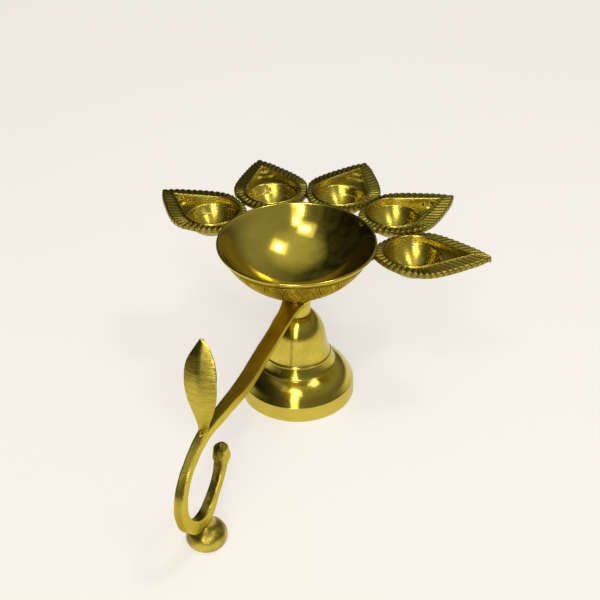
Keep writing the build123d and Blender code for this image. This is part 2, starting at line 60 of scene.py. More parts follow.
# Fan of petal cups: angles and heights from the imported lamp, first cup on the right
PETAL_COUNT = 5
PETAL_PITCH = math.radians(36.4)
FAN_MIDDLE = math.radians(86.45)
PETAL_RIM_Z = 78.8
PETAL_LIFTS = (0.0, 1.5, 0.6, 0.0, -1.7)
PETAL_START, PETAL_TIP = 33.16, 86.4
PETAL_RISE, PETAL_THICKNESS, EDGE_LIFT = 1.2, 1.6, 0.9
PETAL_SHARES = (
    (0.0, 0.0), (0.021, 0.284), (0.060, 0.552), (0.109, 0.757), (0.165, 0.905),
    (0.241, 0.992), (0.335, 0.993), (0.419, 0.984), (0.504, 0.892), (0.588, 0.750),
    (0.692, 0.556), (0.804, 0.352), (0.908, 0.179), (1.0, 0.0),
)
CUP_CENTRE, CUP_MOUTH, CUP_DEPTH, CUP_WALL = 52.47, 12.7, 10.2, 1.4
CUP_BALL = (CUP_MOUTH**2 + CUP_DEPTH**2) / (2 * CUP_DEPTH)
CHANNEL_TIP, CHANNEL_TIP_DEPTH = 77.5, 0.7
CHANNEL_HALF = math.asin(CUP_MOUTH / (CHANNEL_TIP - CUP_CENTRE))
STEP_LENGTH, STEP_RISE, STEP_COUNT, STEP_BLEND = 3.4, 0.9, 3, 0.15
# Rim from under its edge to the bead: share across, drop, inset and share of the flutes' depth
RIM_RINGS = (
    (0.0, -1.6, 0.3, 0.0), (0.0, -1.45, 0.06, 0.1), (0.0, -1.0, 0.0, 0.4), (0.0, -0.5, 0.02, 0.7),
    (0.0, -0.18, 0.12, 0.9), (0.0, 0.0, 0.34, 1.0),
    *((share, 0.06, 0.0, 1.0) for share in (0.12, 0.2, 0.3, 0.4, 0.5, 0.6, 0.7, 0.8)),
    (0.88, 0.04, 0.0, 0.75), (0.95, 0.0, 0.0, 0.3), (1.0, 0.0, 0.0, 0.0),
)
BEAD_RINGS = ((0.06, 0.3), (0.2, 0.75), (0.4, 1.0), (0.6, 1.0), (0.8, 0.75), (0.94, 0.3))
FLUTE_STEPS, FLUTE_INSET, FLUTE_SHARPNESS = 8, 0.28, 0.8
CUP_RINGS, UNDER_RINGS, UNDER_SWEEP = 42, 14, 1.35

# Turned pieces as (radius, z)
PEDESTAL_PROFILE = (
    (24.5, 0.0), (26.2, 0.0), (26.45, 0.05), (26.85, 0.45), (26.9, 0.9), (26.75, 3.2), (26.52, 6.6),
    (26.46, 7.5), (26.44, 7.7), (26.4, 7.8), (26.3, 7.92), (26.1, 8.3), (25.5, 9.4), (24.7, 10.95),
    (23.65, 12.6), (22.2, 14.22), (20.5, 15.64), (18.5, 16.72), (18.2, 16.88), (18.28, 17.0),
    (18.5, 17.1), (18.52, 17.3), (18.3, 17.42), (17.9, 17.55), (17.3, 18.5), (16.75, 19.6),
    (15.98, 21.3), (15.62, 22.1), (15.6, 22.26), (15.86, 22.38), (15.88, 22.6), (15.6, 22.74),
    (15.34, 22.95), (14.85, 24.4), (14.3, 26.4), (13.85, 28.6), (13.5, 30.8), (13.2, 33.0),
    (12.75, 35.2), (12.0, 37.4), (10.95, 39.5), (9.75, 41.5), (8.2, 43.2), (7.2, 43.9), (6.9, 44.06),
    (6.6, 44.1), (3.3, 44.1), (3.06, 44.1), (3.06, 43.8), (3.06, 39.3), (3.06, 39.0), (3.4, 39.0),
    (7.9, 39.0), (8.35, 38.8), (8.5, 38.2), (9.5, 36.0), (10.5, 33.0), (11.0, 30.0), (11.9, 25.8),
    (13.0, 22.0), (14.3, 18.8), (17.4, 15.2), (21.2, 12.3), (23.8, 8.0), (24.3, 4.0), (24.4, 0.3),
)
# Middle of the pedestal's wall as (z, radius)
PEDESTAL_WALL = (
    (0, 25.2), (8, 24.9), (12.3, 22.6), (15.2, 18.8), (18.8, 15.6), (22, 14.2), (30, 12.3), (36, 10.8),
    (39, 9.2), (44, 4.0),
)
PEDESTAL_SHOULDER_Z, BAND_TOP_Z = 43.9, 7.83
COLLAR_PROFILE = (
    (3.3, 44.15), (5.7, 44.15), (5.95, 44.18), (6.17, 44.35), (6.2, 44.6), (6.2, 47.3), (6.2, 50.0),
    (6.17, 50.25), (5.95, 50.42), (5.7, 50.45), (3.3, 50.45),
)
BOSS_PROFILE = (
    (3.05, 52.75), (3.2, 52.7), (5.9, 52.7), (6.15, 52.8), (6.2, 53.1), (6.2, 57.0), (6.3, 57.5),
)
BOWL_HEIGHTS = (58.0, 58.8, 60.0, 61.6, 63.6, 66.0, 68.6, 71.4, 74.2, 76.6, 78.2)
LIP_PROFILE = (
    (33.85, 78.8), (34.3, 79.3), (35.2, 80.3), (35.72, 80.85), (35.95, 81.1), (36.0, 81.4),
    (35.96, 81.8), (35.75, 82.08), (35.35, 82.2), (34.95, 82.16), (34.65, 81.98),
)
BOWL_SPHERE, BOWL_SPHERE_Z, BOWL_SKIN = 37.2, 94.35, 0.25
BOWL_FLOOR_Z, BOWL_MOUTH, BOWL_RIM_Z = 60.35, 34.5, 82.2
BOSS_TOP_Z, CHASED_TOP_Z, BOWL_RINGS, LIP_CLEARANCE = 57.5, 81.2, 17, 0.985
EYE_PROFILE = (
    (3.06, 50.55), (6.1, 50.55), (6.5, 50.75), (6.6, 51.2), (6.6, 52.0), (6.5, 52.45), (6.1, 52.65),
    (3.06, 52.65),
)
FOOT_PROFILE = (
    (0.0, 0.02), (3.0, 0.0), (6.4, 0.0), (7.1, 0.05), (7.5, 0.35), (8.3, 1.6), (8.75, 3.4), (8.55, 5.0),
    (7.8, 6.8), (6.6, 8.0), (5.2, 8.9), (4.0, 9.7), (3.4, 10.6), (3.1, 11.7), (2.9, 13.0), (2.0, 14.6),
    (0.0, 14.9),
)
FOOT_Y, FOOT_FLAT_Z = -108.8, 0.5

# Handle seen from the side, top face and underside, as (y, z), and its half width, as (y, x)
ARM_TOP = (
    (-5.0, 52.7), (-9.0, 52.65), (-14.5, 52.4), (-26.0, 52.0), (-36.0, 51.6), (-47.0, 51.2),
    (-57.0, 50.7), (-65.0, 50.8), (-73.0, 51.7), (-81.0, 53.2), (-90.0, 54.5), (-98.0, 55.7),
    (-105.0, 56.3), (-111.5, 55.6), (-117.0, 54.0), (-122.0, 51.4), (-126.2, 48.4),
    (-129.2, 45.0), (-131.2, 40.8), (-132.0, 36.0), (-131.4, 30.8), (-129.6, 25.8),
    (-126.6, 20.8), (-122.6, 16.7), (-118.0, 13.9), (-113.0, 12.3), (-108.5, 12.5),
    (-104.6, 14.6), (-101.2, 17.2), (-98.0, 19.9), (-94.4, 22.8), (-91.2, 26.4), (-89.6, 30.2),
)
ARM_UNDER = (
    (-5.0, 50.5), (-9.0, 50.5), (-14.5, 50.3), (-29.5, 49.6), (-40.0, 48.8), (-52.0, 47.7),
    (-65.0, 47.1), (-74.6, 48.0), (-82.0, 48.9), (-90.0, 50.1), (-98.5, 51.5), (-105.0, 52.1),
    (-110.9, 51.4), (-116.0, 49.8), (-120.9, 47.0), (-124.2, 44.0), (-126.2, 40.4),
    (-127.0, 36.4), (-126.7, 32.0), (-125.0, 27.4), (-122.0, 23.6), (-118.0, 20.3),
    (-113.3, 18.7), (-108.6, 19.0), (-104.5, 20.6), (-100.8, 22.9), (-97.7, 25.6),
    (-95.6, 28.8), (-94.8, 32.4),
)
ARM_HALF_WIDTHS = (
    (-3.5, 5.6), (-9.0, 4.4), (-15.0, 3.75), (-25.0, 3.55), (-45.0, 3.45), (-65.0, 3.3),
    (-74.0, 2.95), (-82.0, 2.6), (-92.0, 2.35), (-104.0, 2.1), (-118.0, 1.9), (-134.0, 1.9),
)
# Leaf before it leans, both edges as (share of height, x) and its front as (share, depth)
LEAF_RIGHT = (
    (0.0, 1.9), (0.12, 3.1), (0.21, 4.6), (0.31, 6.0), (0.42, 6.8), (0.55, 7.1), (0.68, 6.9),
    (0.78, 6.0), (0.865, 4.6), (0.94, 2.9), (0.985, 0.9), (1.0, -0.3),
)
LEAF_LEFT = (
    (0.0, -1.7), (0.11, -1.6), (0.21, -2.6), (0.31, -4.1), (0.42, -5.5), (0.53, -6.3),
    (0.65, -6.6), (0.755, -6.2), (0.83, -5.1), (0.91, -3.2), (1.0, -0.8),
)
LEAF_FRONT = (
    (0.0, 0.2), (0.14, 0.5), (0.27, 1.1), (0.41, 2.0), (0.55, 3.3), (0.69, 5.4), (0.83, 8.4),
    (0.92, 10.8), (1.0, 13.2),
)
LEAF_Y, LEAF_ROOT_Z, LEAF_HEIGHT = -106.0, 55.0, 36.5
LEAF_FOLD, LEAF_LEAN = math.radians(10), math.radians(6.5)
KNOB_RADII, KNOB_PLACE = (3.6, 3.9, 5.9), (0.3, -91.2, 32.4)
ARM_STATIONS, ARM_SIDE_STEPS, LIMB_HALF_WIDTH, LIMB_SHIFT = 190, 4, 2.05, 0.5
LEAF_ROWS, LEAF_COLUMNS, LEAF_STEPS, LEAF_SWELL, LEAF_EDGE = 72, 18, 80, 0.3, 0.25
FILLER_RADII, FILLER_Z = (1.95, 3.4, 0.8), 56.05

# Finishes: socket kinds, the map of turned faces and the darker shades under the wear
VALUE, COLOUR, VECTOR = "NodeSocketFloat", "NodeSocketColor", "NodeSocketVector"
WHITE, BLACK = (1.0, 1.0, 1.0, 1.0), (0.0, 0.0, 0.0, 1.0)
TURNING_MAP, QUARTER_TURN = "turning", 0.25
SHADES = {
    "bowl_worn": (0.62, 0.485, 0.075), "bowl_dull": (0.33, 0.235, 0.022),
    "cut_dark": (0.11, 0.065, 0.008), "bowl_sheen": (0.88, 0.74, 0.32),
    "rim_worn": (0.46, 0.375, 0.06), "rim_dull": (0.23, 0.18, 0.018),
    "flute_dark": (0.12, 0.085, 0.008), "bar_warm": (0.62, 0.38, 0.05),
    "bar_sheen": (0.92, 0.84, 0.46), "cast_dark": (0.07, 0.045, 0.006),
    "pit_dark": (0.14, 0.09, 0.012), "steel_dull": (0.20, 0.17, 0.13),
}

# Stage: name, compass angle, height angle, distance, size, brightness setting and share of it
SOFT_BOXES = (
    ("window_glow", -95, 57, 1.3, (0.52, 0.44), "window_light", 0.06),
    ("window_box", -89, 57, 1.25, (0.28, 0.13), "window_light", 1.0),
    ("core_glow", -70, 45, 1.3, (0.30, 0.46), "core_light", 0.08),
    ("core_box", -70, 47, 1.2, (0.13, 0.18), "core_light", 1.0),
    ("top_glow", 12, 69, 1.3, (0.44, 0.44), "top_light", 0.06),
    ("top_box", 14, 69, 1.25, (0.21, 0.18), "top_light", 1.0),
    ("low_box", -77, 27, 1.25, (0.13, 0.58), "low_light", 1.0),
)
LIGHT_COLOUR, LIGHT_TARGET_Z, SENSOR_WIDTH = (1.0, 0.985, 0.95), 0.05, 36.0
FLOOR_HALF, FLOOR_WARMTH, FLOOR_DIMMING, FLOOR_GLOW = 3.0, (0.99, 0.97, 0.93, 1.0), 0.58, 0.71
BACKDROP_GLOW = 0.85


class LampSizes(bpy.types.PropertyGroup):
    flutes: IntProperty(name="Flutes", description="Flutes round one petal's rim", default=46, min=20)
    flute_depth: FloatProperty(
        name="Flute depth", description="Depth of the rim's flutes in millimetres", default=0.5, min=0.0
    )
    flute_lean: FloatProperty(
        name="Flute lean", description="Lean of the flutes towards the petal's tip", subtype="ANGLE",
        default=math.radians(28),
    )
    bead_width: FloatProperty(
        name="Bead width", description="Width of the bead round a cup's mouth in millimetres", default=0.9
    )
    bead_height: FloatProperty(
        name="Bead height", description="Height of that bead in millimetres", default=0.5
    )
    arm_edge: FloatProperty(
        name="Arm edge", description="Rounding of the handle bar's edges in millimetres", default=0.5
    )
    cast_unevenness: FloatProperty(
        name="Cast unevenness", description="Unevenness of cast faces in millimetres", default=0.16
    )
    leaf_thickness: FloatProperty(
        name="Leaf thickness", description="Thickness of the thumb leaf in millimetres", default=2.0
    )
    turning_steps: IntProperty(
        name="Turning steps", description="Steps round a turned piece before smoothing", default=72, min=24
    )


class LampColours(bpy.types.PropertyGroup):
    brass: FloatVectorProperty(
        name="Brass", description="Clean polished brass", subtype="COLOR", default=(0.71, 0.565, 0.088)
    )
    tarnish: FloatVectorProperty(
        name="Tarnish", description="Dull olive brown on handled brass", subtype="COLOR",
        default=(0.36, 0.275, 0.018),
    )
    bar_brown: FloatVectorProperty(
        name="Bar brown", description="Brown of the bar's unpolished face", subtype="COLOR",
        default=(0.37, 0.26, 0.028),
    )
    filler: FloatVectorProperty(
        name="Filler", description="Brazing filler", subtype="COLOR", default=(0.50, 0.36, 0.09)
    )
    steel: FloatVectorProperty(
        name="Steel", description="Stud, washer and nut", subtype="COLOR", default=(0.42, 0.41, 0.39)
    )
    floor: FloatVectorProperty(
        name="Floor", description="Pale floor", subtype="COLOR", default=(0.93, 0.905, 0.86)
    )


class LampStage(bpy.types.PropertyGroup):
    lens: FloatProperty(name="Lens", description="Camera lens in millimetres", default=72.19, unit="CAMERA")
    camera_place: FloatVectorProperty(
        name="Camera place", description="Camera's place from the pedestal's axis at table level",
        subtype="TRANSLATION", default=(0.15932, -0.43051, 0.35848),
    )
    camera_turn: FloatProperty(
        name="Camera turn", description="Turn of the view from straight along the handle",
        subtype="ANGLE", default=math.radians(20.14),
    )
    camera_dip: FloatProperty(
        name="Camera dip", description="How far the view looks down", subtype="ANGLE",
        default=math.radians(33.855),
    )
    camera_roll: FloatProperty(
        name="Camera roll", description="Roll of the view", subtype="ANGLE", default=math.radians(-0.323)
    )
    window_light: FloatProperty(
        name="Window light", description="Brightness of the broad window box", default=15.0
    )
    core_light: FloatProperty(
        name="Core light", description="Brightness of the small bright box", default=16.0
    )
    top_light: FloatProperty(name="Top light", description="Brightness of the overhead box", default=16.0)
    low_light: FloatProperty(name="Low light", description="Brightness of the tall low box", default=13.0)
    room_light: FloatProperty(name="Room light", description="Brightness of the room", default=1.0)


# Shapes


def along_curve(points, count):
    """Points evenly spaced along a smooth curve through the given ones."""
    knots = [Vector(p).to_3d() for p in points]
    ends = [2 * knots[0] - knots[1], *knots, 2 * knots[-1] - knots[-2]]
    fine = []
    for before, a, b, after in zip(ends, ends[1:], ends[2:], ends[3:]):
        fine += interpolate_bezier(a, a + (b - before) / 6, b - (after - a) / 6, b, 24)[:-1]
    fine.append(knots[-1])
    reach = [0.0]
    for a, b in zip(fine, fine[1:]):
        reach.append(reach[-1] + (b - a).length)
    spaced, k = [], 0
    for i in range(count):
        want = reach[-1] * i / (count - 1)
        while k < len(fine) - 2 and reach[k + 1] < want:
            k += 1
        gap = reach[k + 1] - reach[k]
        spaced.append(fine[k].lerp(fine[k + 1], (want - reach[k]) / gap if gap else 0.0))
    return spaced


def value_at(table, x):
    """Value of a table of (x, value) pairs, straight between them."""
    rows = sorted(table)
    if x <= rows[0][0]:
        return rows[0][1]
    for (x0, v0), (x1, v1) in zip(rows, rows[1:]):
        if x <= x1:
            t = (x - x0) / (x1 - x0)
            return v0 + (v1 - v0) * t
    return rows[-1][1]


def smooth_step(low, high, x):
    t = min(max((x - low) / (high - low), 0.0), 1.0)
    return t * t * (3 - 2 * t)


def turned(profile, closed):
    """Bmesh turned about the pedestal's axis from (radius, z) points."""
    bm = bmesh.new()
    verts = [bm.verts.new((r, 0, z)) for r, z in profile]
    edges = [bm.edges.new(pair) for pair in zip(verts, verts[1:])]
    if closed:
        edges.append(bm.edges.new((verts[-1], verts[0])))
    bmesh.ops.spin(
        bm, geom=verts + edges, cent=(0, 0, 0), axis=(0, 0, 1), dvec=(0, 0, 0),
        angle=2 * math.pi, steps=bpy.context.scene.lamp_sizes.turning_steps, use_merge=True,
    )
    bmesh.ops.remove_doubles(bm, verts=bm.verts, dist=0.001)
    bmesh.ops.recalc_face_normals(bm, faces=bm.faces)
    return bm


def swept_rings(bm, rings):
    """Skins a run of vertex rings by extruding the first ring from place to place."""
    loop = [bm.verts.new(p) for p in rings[0]]
    edges = [bm.edges.new((a, b)) for a, b in zip(loop, loop[1:] + loop[:1])]
    first = loop
    for ring in rings[1:]:
        made = bmesh.ops.extrude_edge_only(bm, edges=edges)["geom"]
        fresh = {v for v in made if isinstance(v, bmesh.types.BMVert)}
        loop = [next(e.other_vert(v) for e in v.link_edges if e.other_vert(v) in fresh) for v in loop]
        for v, p in zip(loop, ring):
            v.co = p
        edges = [bm.edges.get((a, b)) for a, b in zip(loop, loop[1:] + loop[:1])]
    return first, loop


def mark_turning(bm, centre):
    """UV map that runs round an upright axis, so that turned faces can streak their highlights."""
    layer = bm.loops.layers.uv.new(TURNING_MAP)
    for face in bm.faces:
        middle = face.calc_center_median() - centre
        around = math.atan2(middle.y, middle.x)
        for loop in face.loops:
            spot = loop.vert.co - centre
            angle = math.atan2(spot.y, spot.x) if spot.to_2d().length > 1e-6 else around
            angle += 2 * math.pi * round((around - angle) / (2 * math.pi))
            loop[layer].uv = (angle / (2 * math.pi), (spot.z - spot.to_2d().length) / 100)


def roughen(bm, amount, scale, verts=None):
    """Moves vertices along their normals by smooth noise, as on a sand casting."""
    bm.normal_update()
    for v in verts or bm.verts:
        v.co += v.normal * amount * noise.noise(v.co * scale)


def make_piece(bm, name, body, nodes, finishes, smooth_levels=0, sharp=0.0):
    """Turns a bmesh in lamp millimetres into a finished piece in the row frame."""
    bmesh.ops.scale(bm, vec=(MM, MM, MM), verts=bm.verts)
    bmesh.ops.translate(bm, vec=AXIS, verts=bm.verts)
    mesh = bpy.data.meshes.new(name)
    bm.to_mesh(mesh)
    bm.free()
    mesh.shade_smooth()
    if sharp:
        mesh.set_sharp_from_angle(angle=math.radians(sharp))
    for finish in finishes:
        mesh.materials.append(bpy.data.materials[finish])
    piece = bpy.data.objects.new(name, mesh)
    bpy.context.scene.collection.objects.link(piece)
    if smooth_levels:
        rounding = piece.modifiers.new("Rounding", "SUBSURF")
        rounding.levels = rounding.render_levels = smooth_levels
    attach(piece, body)
    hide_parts(*nodes)
    return piece


# Finishes


class Net:
    """Short hand for laying out shader nodes."""

    def __init__(self, tree):
        self.tree = tree

    def put(self, node, key, value):
        """Links a socket or sets a plain value."""
        if isinstance(value, bpy.types.NodeSocket):
            self.tree.links.new(value, node.inputs[key])
        else:
            node.inputs[key].default_value = value

    def add(self, kind, sockets=None, **settings):
        node = self.tree.nodes.new(kind)
        for key, value in settings.items():
            setattr(node, key, value)
        for key, value in (sockets or {}).items():
            self.put(node, key, value)
        return node

    def math(self, operation, a, b=0.0):
        return self.add("ShaderNodeMath", {0: a, 1: b}, operation=operation).outputs[0]

    def times(self, a, b):
        return self.math("MULTIPLY", a, b)

    def plus(self, a, b):
        return self.math("ADD", a, b)

    def minus(self, a, b):
        return self.math("SUBTRACT", a, b)

    def most(self, a, b):
        return self.math("MAXIMUM", a, b)

    def mix(self, factor, a, b):
        return self.add("ShaderNodeMix", {0: factor, 6: a, 7: b}, data_type="RGBA").outputs[2]

    def ramp(self, factor, low, high):
        """How far a value has come from low to high, kept between 0 and 1."""
        return self.add("ShaderNodeMapRange", {0: factor, 1: low, 2: high}, clamp=True).outputs[0]

    def spread(self, factor, low, high):
        """A 0 to 1 value set out between two limits."""
        return self.add("ShaderNodeMapRange", {0: factor, 3: low, 4: high}).outputs[0]

    def noise(self, vector, scale, detail=4.0, rough=0.55):
        sockets = {"Vector": vector, "Scale": scale, "Detail": detail, "Roughness": rough}
        return self.add("ShaderNodeTexNoise", sockets).outputs["Fac"]

    def attribute(self, name):
        return self.add("ShaderNodeAttribute", attribute_name=name).outputs["Fac"]

    def group(self, name, **sockets):
        return self.add("ShaderNodeGroup", sockets, node_tree=bpy.data.node_groups[name]).outputs


def new_group(name, inputs, outputs):
    """Empty node group with named sockets: its net, its inputs and its output node."""
    tree = bpy.data.node_groups.new(name, "ShaderNodeTree")
    for label, kind, default in inputs:
        tree.interface.new_socket(label, in_out="INPUT", socket_type=kind).default_value = default
    for label, kind in outputs:
        tree.interface.new_socket(label, in_out="OUTPUT", socket_type=kind)
    net = Net(tree)
    return net, net.add("NodeGroupInput").outputs, net.add("NodeGroupOutput")


def object_place(net):
    """Object coordinates counted from the pedestal's axis, in metres."""
    place = net.add("ShaderNodeTexCoord").outputs["Object"]
    return net.add("ShaderNodeMapping", {"Vector": place, "Location": -AXIS}).outputs[0]


def tarnish_group():
    """Patches of dull brass over clean brass, with fine mottling."""
    net, given, out = new_group(
        "Brass Tarnish",
        [("Clean", COLOUR, WHITE), ("Dull", COLOUR, WHITE), ("Amount", VALUE, 0.4), ("Scale", VALUE, 60.0)],
        [("Colour", COLOUR), ("Mask", VALUE)],
    )
    place = object_place(net)
    broad = net.noise(place, given["Scale"], 5.0, 0.6)
    fine = net.noise(place, net.times(given["Scale"], 9.0), 3.0, 0.7)
    patch, speck = net.ramp(broad, 0.38, 0.68), net.ramp(fine, 0.35, 0.75)
    mask = net.times(net.plus(net.times(patch, 0.75), net.times(speck, 0.25)), given["Amount"])
    net.put(out, "Colour", net.mix(mask, given["Clean"], given["Dull"]))
    net.put(out, "Mask", mask)


def scratch_group():
    """Fine crossing wipe marks left by polishing."""
    net, given, out = new_group("Polish Marks", [("Scale", VALUE, 900.0)], [("Marks", VALUE)])
    place = object_place(net)
    sets = []
    for turn in (0.4, 1.7, 2.6):
        laid = net.add(
            "ShaderNodeMapping",
            {"Vector": place, "Rotation": (turn, turn * 0.7, turn * 1.3), "Scale": (1.0, 0.06, 0.06)},
        ).outputs[0]
        sets.append(net.ramp(net.noise(laid, given["Scale"], 2.0, 0.5), 0.55, 0.8))
    total = net.plus(net.plus(sets[0], sets[1]), sets[2])
    net.put(out, "Marks", net.times(total, 0.33))


def lathe_group():
    """Fine rings left by turning, following radius and height about the axis."""
    net, given, out = new_group("Lathe Lines", [("Spacing", VALUE, 0.0005)], [("Lines", VALUE)])
    parts = net.add("ShaderNodeSeparateXYZ", {0: object_place(net)}).outputs
    flat = net.add("ShaderNodeCombineXYZ", {0: parts[0], 1: parts[1]}).outputs[0]
    radius = net.add("ShaderNodeVectorMath", {0: flat}, operation="LENGTH").outputs["Value"]
    run = net.math("DIVIDE", net.minus(parts[2], radius), given["Spacing"])
    rings = net.add("ShaderNodeCombineXYZ", {0: run}).outputs[0]
    net.put(out, "Lines", net.noise(rings, 1.0, 6.0, 0.7))


def cast_group():
    """Sandy grain and shallow pits of an unpolished casting."""
    net, given, out = new_group(
        "Cast Grain", [("Scale", VALUE, 700.0)], [("Height", VALUE), ("Pits", VALUE)]
    )
    place = object_place(net)
    grain = net.noise(place, given["Scale"], 5.0, 0.65)
    lumps = net.noise(place, net.times(given["Scale"], 0.22), 3.0, 0.5)
    net.put(out, "Height", net.plus(net.times(grain, 0.35), lumps))
    net.put(out, "Pits", net.ramp(lumps, 0.62, 0.42))


def stroke_group():
    """Straight file or brush strokes along one direction."""
    net, given, out = new_group(
        "File Strokes", [("Stretch", VECTOR, (1.0, 1.0, 1.0)), ("Scale", VALUE, 1200.0)], [("Strokes", VALUE)]
    )
    sockets = {0: object_place(net), 1: given["Stretch"]}
    laid = net.add("ShaderNodeVectorMath", sockets, operation="MULTIPLY").outputs[0]
    net.put(out, "Strokes", net.noise(laid, given["Scale"], 5.0, 0.7))


def chase_group():
    """Chased border on the bowl's outside: two lines, a zigzag and leaf strokes between them."""
    net, given, out = new_group(
        "Chased Border",
        [("Triangles", VALUE, 22.0), ("Low", VALUE, 0.0640), ("High", VALUE, 0.0785)],
        [("Cut", VALUE)],
    )

    def between(a, b):
        return net.math("ABSOLUTE", net.minus(a, b))

    place = object_place(net)
    parts = net.add("ShaderNodeSeparateXYZ", {0: place}).outputs
    angle = net.math("ARCTAN2", parts[1], parts[0])
    beat = net.times(angle, net.math("DIVIDE", given["Triangles"], 2 * math.pi))
    span = net.minus(given["High"], given["Low"])
    rise = net.math("DIVIDE", net.minus(parts[2], given["Low"]), span)
    level = net.plus(rise, net.times(net.minus(net.noise(place, 300.0), 0.5), 0.10))
    wave = net.times(net.math("PINGPONG", beat, 0.5), 2.0)
    off = between(net.math("MULTIPLY_ADD", wave, 0.8), level)
    zigzag = net.ramp(off, 0.085, 0.03)
    echo = net.ramp(between(off, 0.22), 0.05, 0.02)
    slant = net.plus(net.times(beat, 3.0), net.times(level, 2.2))
    veins = net.math("PINGPONG", slant, 0.5)
    hatch = net.times(net.ramp(veins, 0.10, 0.04), net.ramp(off, 0.30, 0.36))
    lines = [net.ramp(between(level, at), 0.055, 0.02) for at in (-0.06, 1.0)]
    inside = net.times(net.ramp(level, -0.03, 0.02), net.ramp(level, 0.99, 0.94))
    work = net.times(net.most(net.most(zigzag, echo), hatch), inside)
    net.put(out, "Cut", net.most(net.most(*lines), work))


def new_material(name):
    """Metal material: its net and its shader."""
    material = bpy.data.materials.new(name)
    material.use_nodes = True
    material.node_tree.nodes.clear()
    net = Net(material.node_tree)
    shader = net.add("ShaderNodeBsdfPrincipled", {"Metallic": 1.0})
    net.add("ShaderNodeOutputMaterial", {"Surface": shader.outputs[0]})
    return net, shader


def colour(name):
    """A colour by name, from the fixed shades or the panel."""
    return (*(SHADES.get(name) or getattr(bpy.context.scene.lamp_colours, name)), 1.0)


def brass_finish(name, amount, scale, clean="brass", dull="tarnish"):
    """Material in tarnished brass: its net, its shader and the tarnish."""
    net, shader = new_material(name)
    tone = net.group("Brass Tarnish", Clean=colour(clean), Dull=colour(dull), Amount=amount, Scale=scale)
    net.put(shader, "Base Color", tone["Colour"])
    return net, shader, tone


def shade_over(net, shader, base, amount, name):
    """Base colour with a named shade laid over it by an amount."""
    net.put(shader, "Base Color", net.mix(amount, base, colour(name)))


def surface(net, shader, wear, rough, height, depth):
    """Roughness set out between two limits by the wear, and bump of a depth in metres."""
    net.put(shader, "Roughness", net.spread(wear, *rough))
    bump = net.add("ShaderNodeBump", {"Height": height, "Distance": depth, "Strength": 1.0})
    net.put(shader, "Normal", bump.outputs[0])


def streak(net, shader, amount):
    """Stretches highlights across the turning marks, as on lathe turned metal."""
    tangent = net.add("ShaderNodeTangent", direction_type="UV_MAP", uv_map=TURNING_MAP)
    net.put(shader, "Tangent", tangent.outputs[0])
    net.put(shader, "Anisotropic", amount)
    net.put(shader, "Anisotropic Rotation", QUARTER_TURN)


def polished_finish(name, tarnish, rough, line_height, streaks=0.0):
    """Bright polished brass with soft tarnish, wipe marks and turning lines."""
    net, shader, tone = brass_finish(name, tarnish, 55.0)
    marks = net.group("Polish Marks", Scale=700.0)["Marks"]
    haze = net.plus(net.times(marks, 0.6), net.times(tone["Mask"], 0.5))
    lines = net.group("Lathe Lines", Spacing=0.0006)["Lines"]
    height = net.plus(net.times(lines, line_height), net.times(marks, 0.25))
    surface(net, shader, haze, rough, height, 0.00002)
    if streaks:
        streak(net, shader, streaks)


def bright_finish(name):
    """Bowl inside: the brightest polish."""
    polished_finish(name, 0.55, (0.10, 0.24), 0.2)


def turned_finish(name):
    """Pedestal: polished on the lathe, its lines still seen."""
    polished_finish(name, 0.8, (0.14, 0.26), 2.0, streaks=0.8)


def cup_finish(name):
    """Hollow of a petal cup: dulled brass with rings about the cup's own axis."""
    net, shader, _ = brass_finish(name, 0.7, 90.0)
    rings = net.add("ShaderNodeCombineXYZ", {0: net.times(net.attribute("ring_run"), 1.8)}).outputs[0]
    lines = net.noise(rings, 1.0, 5.0, 0.7)
    surface(net, shader, lines, (0.20, 0.34), lines, 0.0001)
    streak(net, shader, 0.92)


def satin_finish(name):
    """Turned brass left dull, with visible fine rings."""
    net, shader, _ = brass_finish(name, 0.25, 90.0)
    lines = net.group("Lathe Lines", Spacing=0.0003)["Lines"]
    surface(net, shader, lines, (0.26, 0.42), lines, 0.00004)


def chased_finish(name):
    """Bowl outside: worn brass with the chased border cut in and dark in the cuts."""
    net, shader, tone = brass_finish(name, 0.9, 150.0, "bowl_worn", "bowl_dull")
    cells = net.add("ShaderNodeTexVoronoi", {"Vector": object_place(net), "Scale": 700.0})
    punched = net.ramp(cells.outputs["Distance"], 0.45, 0.15)
    worked = net.most(net.group("Chased Border")["Cut"], net.times(punched, 0.6))
    shade_over(net, shader, tone["Colour"], net.times(worked, 0.8), "cut_dark")
    net.put(shader, "Specular Tint", colour("bowl_sheen"))
    grain = net.group("Cast Grain", Scale=900.0)["Height"]
    height = net.minus(net.times(grain, 0.3), worked)
    surface(net, shader, tone["Mask"], (0.28, 0.44), height, 0.0009)


def fluted_finish(name):
    """Petal rim: bright on the ridges, olive brown down in the flutes."""
    net, shader, tone = brass_finish(name, 0.85, 140.0, "rim_worn", "rim_dull")
    depth = net.attribute("groove")
    shade_over(net, shader, tone["Colour"], net.times(depth, 0.8), "flute_dark")
    worn = net.plus(net.times(depth, 0.5), net.times(tone["Mask"], 0.5))
    grain = net.group("Cast Grain", Scale=1100.0)["Height"]
    surface(net, shader, worn, (0.32, 0.50), grain, 0.00005)


